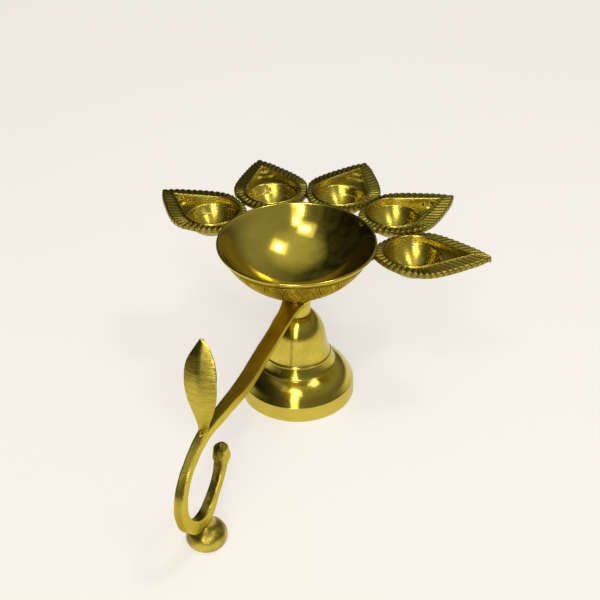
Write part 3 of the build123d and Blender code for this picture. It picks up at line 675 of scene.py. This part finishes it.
def bar_finish(name):
    """Handle bar: brown unpolished face, filed sides and a rough cast inner limb."""
    net, shader, tone = brass_finish(name, 0.6, 100.0)
    face, rough_cast = net.attribute("face"), net.attribute("cast")
    place = object_place(net)
    patch = net.ramp(net.noise(place, 130.0, 4.0, 0.6), 0.3, 0.75)
    along = net.add("ShaderNodeMapping", {"Vector": place, "Scale": (1.0, 0.35, 1.0)}).outputs[0]
    warm = net.ramp(net.noise(along, 95.0, 3.0, 0.5), 0.46, 0.66)
    browned = net.mix(warm, colour("bar_brown"), colour("bar_warm"))
    # The face mark browns the top face but leaves its edges pale brass, a painted highlight along the bar's
    # top edges.
    shade = net.mix(net.times(face, net.spread(patch, 0.6, 1.0)), tone["Colour"], browned)
    net.put(shader, "Specular Tint", colour("bar_sheen"))
    grain = net.group("Cast Grain", Scale=650.0)
    stain = net.spread(grain["Pits"], 0.45, 0.95)
    shade_over(net, shader, shade, net.times(stain, rough_cast), "cast_dark")
    strokes = net.group("File Strokes", Stretch=(0.08, 1.0, 1.0), Scale=1500.0)["Strokes"]
    filed = net.times(strokes, net.minus(1.0, net.times(rough_cast, 0.8)))
    lumpy = net.times(grain["Height"], net.spread(rough_cast, 0.07, 2.2))
    dull = net.plus(net.times(rough_cast, 0.6), net.times(face, 0.35))
    surface(net, shader, dull, (0.26, 0.50), net.plus(net.times(filed, 0.4), lumpy), 0.00016)


def cast_finish(name):
    """Rough cast brass with darker pits."""
    net, shader, tone = brass_finish(name, 0.7, 120.0)
    grain = net.group("Cast Grain", Scale=600.0)
    shade_over(net, shader, tone["Colour"], net.times(grain["Pits"], 0.6), "pit_dark")
    surface(net, shader, tone["Mask"], (0.28, 0.48), grain["Height"], 0.00045)


def brushed_finish(name):
    """Leaf: brass brushed straight across, dull between the strokes."""
    net, shader, tone = brass_finish(name, 0.7, 90.0)
    strokes = net.group("File Strokes", Stretch=(0.05, 0.05, 1.0), Scale=1700.0)["Strokes"]
    faded = net.times(net.ramp(strokes, 0.62, 0.38), 0.5)
    shade_over(net, shader, tone["Colour"], faded, "tarnish")
    surface(net, shader, strokes, (0.20, 0.36), strokes, 0.00012)


def filler_finish(name):
    """Brazing filler, run and left as it set."""
    net, shader, _ = brass_finish(name, 0.8, 200.0, "filler")
    grain = net.group("Cast Grain", Scale=900.0)
    surface(net, shader, grain["Pits"], (0.32, 0.55), grain["Height"], 0.0002)


def steel_finish(name):
    """Plain steel of the stud, washer and nut, dulled by handling."""
    net, shader = new_material(name)
    patch = net.noise(object_place(net), 400.0, 5.0, 0.6)
    shade_over(net, shader, colour("steel"), net.ramp(patch, 0.4, 0.8), "steel_dull")
    lines = net.group("Lathe Lines", Spacing=0.0004)["Lines"]
    surface(net, shader, patch, (0.30, 0.55), lines, 0.00006)


FINISHES = (
    bright_finish, turned_finish, cup_finish, satin_finish, chased_finish, fluted_finish, bar_finish,
    cast_finish, brushed_finish, filler_finish, steel_finish,
)


def dress(node, finish):
    """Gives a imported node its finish."""
    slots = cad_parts[node].data.materials
    slots.clear()
    slots.append(bpy.data.materials[finish])


# Pieces


class LAMP_OT_finishes(bpy.types.Operator):
    """Build the shared finish groups and the finishes"""

    bl_idname = "lamp.finishes"
    bl_label = "Finishes"

    def execute(self, context):
        for make in (tarnish_group, scratch_group, lathe_group, cast_group, stroke_group, chase_group):
            make()
        for make in FINISHES:
            make(make.__name__)
        return {"FINISHED"}


class LAMP_OT_pedestal(bpy.types.Operator):
    """Turn the hollow bell pedestal and its neck collar"""

    bl_idname = "lamp.pedestal"
    bl_label = "Pedestal"

    def execute(self, context):
        bm = turned(PEDESTAL_PROFILE, closed=True)
        for face in bm.faces:
            middle = face.calc_center_median()
            radius = math.hypot(middle.x, middle.y)
            inside = middle.z < PEDESTAL_SHOULDER_Z and radius < value_at(PEDESTAL_WALL, middle.z)
            face.material_index = 2 if inside else 1 if middle.z < BAND_TOP_Z else 0
        mark_turning(bm, Vector())
        make_piece(
            bm, "pedestal_bell", "pedestal_body", ["pedestal"],
            ("turned_finish", "satin_finish", "cast_finish"), 2,
        )
        bm = turned(COLLAR_PROFILE, closed=True)
        make_piece(bm, "neck_ring", "pedestal_body", ["neck_collar"], ("satin_finish",), 2)
        return {"FINISHED"}


class LAMP_OT_bowl(bpy.types.Operator):
    """Turn the main bowl with its lip and foot boss"""

    bl_idname = "lamp.bowl"
    bl_label = "Bowl"

    def execute(self, context):
        deep = BOWL_RIM_Z - BOWL_FLOOR_Z
        inner = (BOWL_MOUTH**2 + deep**2) / (2 * deep)
        profile = list(BOSS_PROFILE)
        for z in BOWL_HEIGHTS:
            profile.append((math.sqrt(BOWL_SPHERE**2 - (BOWL_SPHERE_Z - z) ** 2), z))
        profile += LIP_PROFILE
        top = math.asin(BOWL_MOUTH / inner)
        for k in range(1, BOWL_RINGS):
            turn = top * (1 - k / BOWL_RINGS) * LIP_CLEARANCE
            profile.append((inner * math.sin(turn), BOWL_FLOOR_Z + inner * (1 - math.cos(turn))))
        profile.append((0.0, BOWL_FLOOR_Z))
        bm = turned(profile, closed=False)
        for face in bm.faces:
            middle = face.calc_center_median()
            from_sphere = (middle - Vector((0, 0, BOWL_SPHERE_Z))).length
            outside = from_sphere > BOWL_SPHERE - BOWL_SKIN or middle.z < BOSS_TOP_Z
            face.material_index = 1 if outside and middle.z < CHASED_TOP_Z else 0
        bmesh.ops.holes_fill(bm, edges=[e for e in bm.edges if e.is_boundary])
        make_piece(
            bm, "main_bowl", "head_body", ["bowl"], ("bright_finish", "chased_finish"), 2
        )
        return {"FINISHED"}


def mouth_gap(point):
    """Distance of a rim point outside the cup's teardrop mouth, negative inside it."""
    centre, tip = Vector((CUP_CENTRE, 0)), Vector((CHANNEL_TIP, 0))
    side = Vector((point.x, abs(point.y)))
    slope = Vector((-math.cos(CHANNEL_HALF), math.sin(CHANNEL_HALF)))
    if (side - tip).dot(slope) >= (tip - centre).length * math.cos(CHANNEL_HALF):
        return (side - centre).length - CUP_MOUTH
    return (side - tip).dot(Vector((math.sin(CHANNEL_HALF), math.cos(CHANNEL_HALF))))


def cup_floor(x, y, grow):
    """Height of the hollow's surface under a point, from the rim, grown outwards by a wall."""
    centre = Vector((CUP_CENTRE, 0, PETAL_RISE - CUP_DEPTH + CUP_BALL))
    tip = Vector((CHANNEL_TIP, 0, PETAL_RISE - CHANNEL_TIP_DEPTH))
    axis = (centre - tip).normalized()
    reach = (centre - tip).length
    sine = CUP_BALL / reach
    cosine = math.sqrt(1 - sine**2)
    tip -= axis * (grow / sine)
    lowest = 0.0
    spare = (CUP_BALL + grow) ** 2 - (x - centre.x) ** 2 - y**2
    if spare > 0:
        lowest = min(lowest, centre.z - math.sqrt(spare))
    dx, dy = x - tip.x, y
    a = axis.z**2 - cosine**2
    b = 2 * dx * axis.x * axis.z
    c = (dx * axis.x) ** 2 - cosine**2 * (dx**2 + dy**2)
    root = b * b - 4 * a * c
    if root >= 0:
        length = (reach + grow / sine) * cosine**2
        for sign in (-1, 1):
            dz = (-b + sign * math.sqrt(root)) / (2 * a)
            run = dx * axis.x + dz * axis.z
            if 0 < run < length:
                lowest = min(lowest, tip.z + dz)
    return lowest


def cup_inside(x, y):
    """Height inside the cup: its round hollow, or the tread of the stepped wick channel."""
    away = (x - CUP_CENTRE) ** 2 + y**2
    height = PETAL_RISE
    if away < CUP_MOUTH**2:
        height = PETAL_RISE - CUP_DEPTH + CUP_BALL - math.sqrt(CUP_BALL**2 - away)
    if x > CUP_CENTRE and abs(y) < (CHANNEL_TIP - x) * math.tan(CHANNEL_HALF):
        tread = PETAL_RISE - STEP_RISE * STEP_COUNT
        for k in range(1, STEP_COUNT):
            edge = CHANNEL_TIP - (STEP_COUNT - k) * STEP_LENGTH
            tread += STEP_RISE * smooth_step(edge - STEP_BLEND, edge + STEP_BLEND, x)
        height = min(height, tread)
    return height


def petal_mesh(sizes):
    """One petal cup along +X with the outer edge of its rim at height nought."""
    half = sizes.flutes * FLUTE_STEPS // 2
    room = math.tan(PETAL_PITCH / 2)
    side = []
    for along, share in reversed(PETAL_SHARES):
        radius = PETAL_START + along * (PETAL_TIP - PETAL_START)
        side.append((radius, share * room * radius))
    upper = along_curve(side, half + 1)
    outline = upper[:-1] + [Vector((p.x, -p.y, 0)) for p in reversed(upper[1:])]
    total = len(outline)
    centre = Vector((CUP_CENTRE, 0, 0))
    bead_tip = Vector((CHANNEL_TIP + sizes.bead_width / math.sin(CHANNEL_HALF), 0, 0))

    def reach(start, way, far, gap):
        """First point along a line that meets the mouth's edge or the petal's middle line."""
        low, high = 0.0, far
        for _ in range(32):
            middle = (low + high) / 2
            spot = start + way * middle
            past = spot.y * start.y < 0 or mouth_gap(spot) <= gap
            low, high = (low, middle) if past else (middle, high)
        return start + way * high

    normals, crest, lip, inner, rise = [], [], [], [], []
    for i, point in enumerate(outline):
        run = (outline[(i + 1) % total] - outline[i - 1]).normalized()
        inward = Vector((-run.y, run.x, 0))
        normals.append(inward)
        from_seat = abs(half - i) / half
        lean = sizes.flute_lean * min(max(3 * from_seat - 0.75, 0.0), 1.0)
        seatward = run if i < half else -run
        leaning = inward * math.cos(lean) + seatward * math.sin(lean)
        way = (centre - point).normalized().lerp(leaning, smooth_step(0.1, 0.35, from_seat)).normalized()
        end = reach(point, way, 18.0, sizes.bead_width) if i else point + inward * 0.4
        on_middle = mouth_gap(end) > sizes.bead_width + 0.01
        crest.append(end)
        share = (PETAL_TIP - end.x) / (PETAL_TIP - bead_tip.x) if on_middle else 1.0
        rise.append(PETAL_RISE * share)
        lip.append(bead_tip if on_middle else end)
        inner.append(reach(lip[-1], (centre - lip[-1]).normalized(), 6.0, 0.0))

    def groove(i):
        return 1 - abs(math.sin(math.pi * (i % FLUTE_STEPS) / FLUTE_STEPS)) ** FLUTE_SHARPNESS

    def rim_ring(f, drop, inset, cut):
        ring = []
        for i in range(total):
            set_in = inset + FLUTE_INSET * groove(i) * cut * (1 - f) ** 3
            spot = outline[i].lerp(crest[i], f) + normals[i] * set_in
            lift = EDGE_LIFT * (1 - f) * (1 + min(drop, 0.0) / PETAL_THICKNESS)
            spot.z = drop + lift + f * rise[i] - sizes.flute_depth * groove(i) * cut
            ring.append(spot)
        return ring

    def bead_ring(share, height):
        ring = []
        for a, b in zip(lip, inner):
            spot = a.lerp(b, share)
            spot.z = PETAL_RISE + height
            ring.append(spot)
        return ring

    def bowl_ring(starts, f, height_at):
        ring = []
        for start in starts:
            spot = start.lerp(centre, f)
            spot.z = height_at(spot.x, spot.y)
            ring.append(spot)
        return ring

    def outside(x, y):
        return min(cup_floor(x, y, CUP_WALL), -PETAL_THICKNESS)

    rings = []
    for k in range(1, UNDER_RINGS + 1):
        share = math.sin(UNDER_SWEEP * k / UNDER_RINGS) / math.sin(UNDER_SWEEP)
        rings.append(bowl_ring(lip, 1 - share, outside))
    rings.append(rim_ring(0.5, -PETAL_THICKNESS - 0.5 * PETAL_RISE, 0.0, 0.0))
    fluted_from = len(rings)
    rings += [rim_ring(*ring) for ring in RIM_RINGS]
    fluted_to = len(rings)
    rings += [bead_ring(share, sizes.bead_height * height) for share, height in BEAD_RINGS]
    rings.append(bead_ring(1.0, 0.0))
    top = math.asin(CUP_MOUTH / CUP_BALL)
    for k in range(1, CUP_RINGS):
        share = math.sin(top * (1 - k / CUP_RINGS)) / math.sin(top)
        rings.append(bowl_ring(inner, 1 - share, cup_inside))
    bm = bmesh.new()
    first, last = swept_rings(bm, rings)
    for loop in (first, last):
        bmesh.ops.contextual_create(bm, geom=loop)
    mark = bm.verts.layers.float.new("groove")
    ring_run = bm.verts.layers.float.new("ring_run")
    bm.verts.index_update()
    for v in bm.verts:
        v[ring_run] = math.hypot(v.co.x - CUP_CENTRE, v.co.y) - v.co.z
        if fluted_from <= v.index // total < fluted_to:
            v[mark] = groove(v.index % total)
    bmesh.ops.remove_doubles(bm, verts=bm.verts, dist=0.002)
    bmesh.ops.dissolve_degenerate(bm, edges=bm.edges, dist=0.001)
    bmesh.ops.recalc_face_normals(bm, faces=bm.faces)
    for face in bm.faces:
        middle = face.calc_center_median()
        on_mouth = mouth_gap(middle) < sizes.bead_width and middle.z > -9.3 and face.normal.z > -0.2
        in_channel = mouth_gap(middle) < -0.05 and (middle - centre).to_2d().length > CUP_MOUTH
        face.material_index = 1 if on_mouth and not in_channel else 0
    mark_turning(bm, centre)
    return bm


class LAMP_OT_petals(bpy.types.Operator):
    """Shape the petal cups with their fluted rims and stepped channels"""

    bl_idname = "lamp.petals"
    bl_label = "Petal cups"

    def execute(self, context):
        sizes = context.scene.lamp_sizes
        shape = petal_mesh(sizes)
        for k in range(PETAL_COUNT):
            turn = FAN_MIDDLE + (k - (PETAL_COUNT - 1) / 2) * PETAL_PITCH
            lift = Matrix.Translation((0, 0, PETAL_RIM_Z + PETAL_LIFTS[k]))
            cup = shape.copy()
            bmesh.ops.transform(cup, matrix=Matrix.Rotation(turn, 4, "Z") @ lift, verts=cup.verts)
            make_piece(
                cup, f"fluted_petal_{k + 1}", "head_body",
                [f"petal_cup_{k + 1}"], ("fluted_finish", "cup_finish"), sharp=55,
            )
        shape.free()
        return {"FINISHED"}


class LAMP_OT_handle(bpy.types.Operator):
    """Forge the handle bar with its eye, curl and knob"""

    bl_idname = "lamp.handle"
    bl_label = "Handle bar"

    def execute(self, context):
        sizes = context.scene.lamp_sizes
        steps, around = ARM_SIDE_STEPS, 4 * ARM_SIDE_STEPS
        top, under = along_curve(ARM_TOP, ARM_STATIONS), along_curve(ARM_UNDER, ARM_STATIONS)
        rings = []
        for station, (a, b) in enumerate(zip(top, under)):
            high, low = Vector((0, a.x, a.y)), Vector((0, b.x, b.y))
            turned_in = smooth_step(0.72, 0.88, station / ARM_STATIONS)
            ring = []
            sides = ((low, high, 1, 1), (high, high, 1, -1), (high, low, -1, -1), (low, low, -1, 1))
            for start, end, left, right in sides:
                for k in range(steps):
                    spot = start.lerp(end, k / steps)
                    width = value_at(ARM_HALF_WIDTHS, spot.y)
                    width += (LIMB_HALF_WIDTH - width) * turned_in
                    across = left + (right - left) * k / steps
                    ring.append(Vector((width * across + LIMB_SHIFT * turned_in, spot.y, spot.z)))
            rings.append(ring)
        bm = bmesh.new()
        first, last = swept_rings(bm, rings)
        for loop in (first, last):
            bmesh.ops.contextual_create(bm, geom=loop)
        bmesh.ops.recalc_face_normals(bm, faces=bm.faces)
        bm.verts.index_update()
        face_mark = bm.verts.layers.float.new("face")
        cast_mark = bm.verts.layers.float.new("cast")
        for v in bm.verts:
            station, corner = divmod(v.index, around)
            along = station / ARM_STATIONS
            on_top, on_inside = steps < corner < 2 * steps, corner >= 3 * steps
            on_edge = corner in (steps, 2 * steps)
            # Less brown on the top edges lets pale brass show there: a painted highlight along the bar's top
            # edges. The inner face is less brown as well.
            browned = 1.0 if on_top else 0.3 if on_edge or on_inside else 0.8
            stained = smooth_step(0.585, 0.63, along) * (1 - smooth_step(0.76, 0.82, along))
            v[face_mark] = browned * (1 - smooth_step(0.34, 0.46, along)) + 0.75 * stained * on_top
            v[cast_mark] = (1.0 if on_inside else 0.15) * smooth_step(0.66, 0.78, along)
        corners = [
            e for e in bm.edges
            if e.verts[0].index % around == e.verts[1].index % around and e.verts[0].index % steps == 0
        ]
        roughen(bm, sizes.cast_unevenness, 0.22)
        bmesh.ops.bevel(
            bm, geom=corners, offset=sizes.arm_edge, offset_type="OFFSET", segments=3, profile=0.5,
            affect="EDGES", material=-1, clamp_overlap=True,
        )
        knob = bmesh.ops.create_icosphere(bm, subdivisions=5, radius=1.0)["verts"]
        bmesh.ops.scale(bm, vec=KNOB_RADII, verts=knob)
        bmesh.ops.translate(bm, vec=KNOB_PLACE, verts=knob)
        roughen(bm, 0.45, 0.4, knob)
        bm.normal_update()
        for v in knob:
            v[cast_mark] = 1 - smooth_step(0.35, 0.75, v.normal.x)
        eye = turned(EYE_PROFILE, closed=True)
        ring_mesh = bpy.data.meshes.new("eye")
        eye.to_mesh(ring_mesh)
        eye.free()
        bm.from_mesh(ring_mesh)
        bpy.data.meshes.remove(ring_mesh)
        make_piece(
            bm, "handle_bar", "handle_body", ["handle_arm"], ("bar_finish",), sharp=50
        )
        return {"FINISHED"}


class LAMP_OT_leaf(bpy.types.Operator):
    """Shape the thumb leaf and the filler round its stem"""

    bl_idname = "lamp.leaf"
    bl_label = "Thumb leaf"

    def execute(self, context):
        sizes = context.scene.lamp_sizes
        bm = bmesh.new()
        bmesh.ops.create_grid(bm, x_segments=LEAF_COLUMNS, y_segments=LEAF_ROWS, size=1.0)
        left, right, front = (
            [(p.x, p.y) for p in along_curve(table, LEAF_STEPS)]
            for table in (LEAF_LEFT, LEAF_RIGHT, LEAF_FRONT)
        )
        for v in bm.verts:
            u, share = (v.co.x + 1) / 2, (v.co.y + 1) / 2
            low, high = value_at(left, share), value_at(right, share)
            x = low + (high - low) * u
            middle = (low + high) / 2
            swell = LEAF_SWELL * (1 - (2 * u - 1) ** 2) * smooth_step(0.15, 0.4, share)
            back = math.sqrt((x - middle) ** 2 + 0.25) * math.tan(LEAF_FOLD) - swell
            v.co = (x, value_at(front, share) - sizes.leaf_thickness / 2 + back, share * LEAF_HEIGHT)
        bmesh.ops.recalc_face_normals(bm, faces=bm.faces)
        if sum(f.normal.y for f in bm.faces) > 0:
            bmesh.ops.reverse_faces(bm, faces=bm.faces)
        bmesh.ops.solidify(bm, geom=bm.faces[:], thickness=sizes.leaf_thickness)
        bmesh.ops.recalc_face_normals(bm, faces=bm.faces)
        edges = [e for e in bm.edges if e.calc_face_angle(0.0) > 0.9]
        bmesh.ops.bevel(
            bm, geom=edges, offset=LEAF_EDGE, offset_type="OFFSET", segments=3, profile=0.5, affect="EDGES",
            material=-1, clamp_overlap=True,
        )
        roughen(bm, 0.08, 0.25)
        stand = Matrix.Translation((0, LEAF_Y, LEAF_ROOT_Z)) @ Matrix.Rotation(-LEAF_LEAN, 4, "Y")
        bmesh.ops.transform(bm, matrix=stand, verts=bm.verts)
        make_piece(
            bm, "brushed_leaf", "handle_body", ["thumb_leaf"], ("brushed_finish",),
            sharp=40,
        )
        bm = bmesh.new()
        bmesh.ops.create_icosphere(bm, subdivisions=4, radius=1.0)
        bmesh.ops.scale(bm, vec=FILLER_RADII, verts=bm.verts)
        roughen(bm, 0.25, 0.8)
        bmesh.ops.translate(bm, vec=(0, LEAF_Y, FILLER_Z), verts=bm.verts)
        make_piece(bm, "leaf_filler", "handle_body", ["leaf_braze"], ("filler_finish",))
        return {"FINISHED"}


class LAMP_OT_foot(bpy.types.Operator):
    """Shape the cast bun foot under the curl"""

    bl_idname = "lamp.foot"
    bl_label = "Handle foot"

    def execute(self, context):
        bm = turned(FOOT_PROFILE, closed=False)
        bmesh.ops.translate(bm, vec=(0, FOOT_Y, 0), verts=bm.verts)
        roughen(bm, 0.3, 0.3, [v for v in bm.verts if v.co.z > FOOT_FLAT_Z])
        make_piece(bm, "bun_foot", "handle_body", ["handle_foot"], ("cast_finish",), 1)
        return {"FINISHED"}


class LAMP_OT_fixings(bpy.types.Operator):
    """Finish the stud, washer, nut and the filler beads"""

    bl_idname = "lamp.fixings"
    bl_label = "Fixings and filler"

    def execute(self, context):
        for node in ("centre_stud", "stud_washer", "stud_nut"):
            dress(node, "steel_finish")
        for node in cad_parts:
            if node.startswith(("bowl_braze", "petal_braze")):
                dress(node, "filler_finish")
        return {"FINISHED"}


class LAMP_OT_stage(bpy.types.Operator):
    """Lay the pale floor and set the soft lights, the room and the camera"""

    bl_idname = "lamp.stage"
    bl_label = "Stage"

    def execute(self, context):
        settings = context.scene.lamp_stage
        bm = bmesh.new()
        bmesh.ops.create_grid(bm, x_segments=1, y_segments=1, size=FLOOR_HALF)
        mesh = bpy.data.meshes.new("floor")
        bm.to_mesh(mesh)
        bm.free()
        floor = bpy.data.objects.new("floor", mesh)
        context.scene.collection.objects.link(floor)
        self.floor_finish("pale_floor")
        mesh.materials.append(bpy.data.materials["pale_floor"])
        for name, azimuth, height, distance, size, light, share in SOFT_BOXES:
            self.soft_box(name, azimuth, height, distance, size, getattr(settings, light) * share)
        self.room(settings.room_light)
        camera = bpy.data.objects.new("camera", bpy.data.cameras.new("camera"))
        context.scene.collection.objects.link(camera)
        camera.data.lens = settings.lens
        camera.data.sensor_width = SENSOR_WIDTH
        camera.data.clip_start = 0.01
        camera.location = Vector(settings.camera_place) + AXIS
        turn = Matrix.Rotation(settings.camera_turn, 3, "Z")
        dip = Matrix.Rotation(math.pi / 2 - settings.camera_dip, 3, "X")
        roll = Matrix.Rotation(settings.camera_roll, 3, "Z")
        camera.rotation_euler = (turn @ dip @ roll).to_euler()
        context.scene.camera = camera
        context.scene.view_settings.view_transform = "Standard"
        return {"FINISHED"}

    def floor_finish(self, name):
        """Floor that looks pale without more light on the lamp, and is clear from below."""
        net, shader = new_material(name)
        net.put(shader, "Metallic", 0.0)
        net.put(shader, "Roughness", 0.85)
        cloud = net.noise(net.add("ShaderNodeTexCoord").outputs["Object"], 1.5, 2.0, 0.5)
        pale = colour("floor")
        warm = tuple(part * share for part, share in zip(pale, FLOOR_WARMTH))
        shade = net.mix(net.ramp(cloud, 0.3, 0.7), pale, warm)
        net.put(shader, "Base Color", net.mix(FLOOR_DIMMING, shade, BLACK))
        rays = net.add("ShaderNodeLightPath").outputs
        seen = net.most(net.most(rays["Is Camera Ray"], rays["Is Glossy Ray"]), rays["Is Transmission Ray"])
        glow = net.add("ShaderNodeEmission", {"Color": shade, "Strength": net.times(seen, FLOOR_GLOW)})
        both = net.add("ShaderNodeAddShader", {0: shader.outputs[0], 1: glow.outputs[0]})
        behind = net.add("ShaderNodeNewGeometry").outputs["Backfacing"]
        below = net.times(behind, rays["Is Camera Ray"])
        clear = net.add("ShaderNodeBsdfTransparent")
        laid = net.add("ShaderNodeMixShader", {0: below, 1: both.outputs[0], 2: clear.outputs[0]})
        out = next(n for n in net.tree.nodes if n.type == "OUTPUT_MATERIAL")
        net.put(out, "Surface", laid.outputs[0])

    def soft_box(self, name, azimuth, height, distance, size, brightness):
        """Area light facing the lamp, placed by compass angle and height angle in degrees."""
        data = bpy.data.lights.new(name, "AREA")
        data.shape = "RECTANGLE"
        data.size, data.size_y = size
        data.energy = brightness * size[0] * size[1] * math.pi
        data.color = LIGHT_COLOUR
        lamp = bpy.data.objects.new(name, data)
        bpy.context.scene.collection.objects.link(lamp)
        a, e = math.radians(azimuth), math.radians(height)
        way = Vector((math.cos(a) * math.cos(e), math.sin(a) * math.cos(e), math.sin(e)))
        target = AXIS + Vector((0, 0, LIGHT_TARGET_Z))
        lamp.location = target + way * distance
        lamp.rotation_euler = (-way).to_track_quat("-Z", "Y").to_euler()

    def room(self, brightness):
        """Dim room, dark on the left and low down, lighter on the right and overhead; pale to the eye."""
        world = bpy.context.scene.world or bpy.data.worlds.new("room")
        bpy.context.scene.world = world
        world.use_nodes = True
        world.node_tree.nodes.clear()
        net = Net(world.node_tree)
        way = net.add("ShaderNodeTexCoord").outputs["Generated"]
        parts = net.add("ShaderNodeSeparateXYZ", {0: way}).outputs
        side = net.spread(net.ramp(parts[0], -0.75, 0.45), 0.04, 0.32)
        clutter = net.ramp(net.noise(way, 6.0, 3.0, 0.6), 0.62, 0.40)
        dimmed = net.times(clutter, net.ramp(parts[0], 0.1, -0.4))
        side = net.times(side, net.spread(dimmed, 1.0, 0.25))
        height = net.spread(net.ramp(parts[2], 0.1, 0.5), 0.3, 1.0)
        above = net.times(net.ramp(parts[2], 0.78, 0.98), 0.40)
        level = net.plus(net.times(side, height), above)
        shade = net.add("ShaderNodeCombineColor", {0: level, 1: level, 2: net.times(level, 0.93)})
        sky = net.add("ShaderNodeBackground", {"Color": shade.outputs[0], "Strength": brightness})
        pale = net.add("ShaderNodeBackground", {"Color": colour("floor"), "Strength": BACKDROP_GLOW})
        seen = net.add("ShaderNodeLightPath").outputs["Is Camera Ray"]
        both = net.add("ShaderNodeMixShader", {0: seen, 1: sky.outputs[0], 2: pale.outputs[0]})
        net.add("ShaderNodeOutputWorld", {"Surface": both.outputs[0]})


class LAMP_PT_panel(bpy.types.Panel):
    """Aarti lamp pieces and settings"""

    bl_idname = "LAMP_PT_panel"
    bl_label = "Aarti Lamp"
    bl_space_type = "VIEW_3D"
    bl_region_type = "UI"
    bl_category = "Lamp"

    def draw(self, context):
        layout = self.layout
        for step in STEPS:
            layout.operator(step.bl_idname)
        for group in (context.scene.lamp_sizes, context.scene.lamp_colours, context.scene.lamp_stage):
            box = layout.box()
            for key in group.bl_rna.properties.keys():
                if key not in ("rna_type", "name"):
                    box.prop(group, key)


STEPS = (
    LAMP_OT_finishes,
    LAMP_OT_pedestal,
    LAMP_OT_bowl,
    LAMP_OT_petals,
    LAMP_OT_handle,
    LAMP_OT_leaf,
    LAMP_OT_foot,
    LAMP_OT_fixings,
    LAMP_OT_stage,
)
CLASSES = (LampSizes, LampColours, LampStage, *STEPS, LAMP_PT_panel)


def register():
    for cls in CLASSES:
        bpy.utils.register_class(cls)
    bpy.types.Scene.lamp_sizes = PointerProperty(type=LampSizes)
    bpy.types.Scene.lamp_colours = PointerProperty(type=LampColours)
    bpy.types.Scene.lamp_stage = PointerProperty(type=LampStage)


def unregister():
    del bpy.types.Scene.lamp_stage
    del bpy.types.Scene.lamp_colours
    del bpy.types.Scene.lamp_sizes
    for cls in reversed(CLASSES):
        bpy.utils.unregister_class(cls)


def main():
    register()
    bpy.ops.lamp.finishes()
    bpy.ops.lamp.pedestal()
    bpy.ops.lamp.bowl()
    bpy.ops.lamp.petals()
    bpy.ops.lamp.handle()
    bpy.ops.lamp.leaf()
    bpy.ops.lamp.foot()
    bpy.ops.lamp.fixings()
    bpy.ops.lamp.stage()


if __name__ == "__main__":
    main()
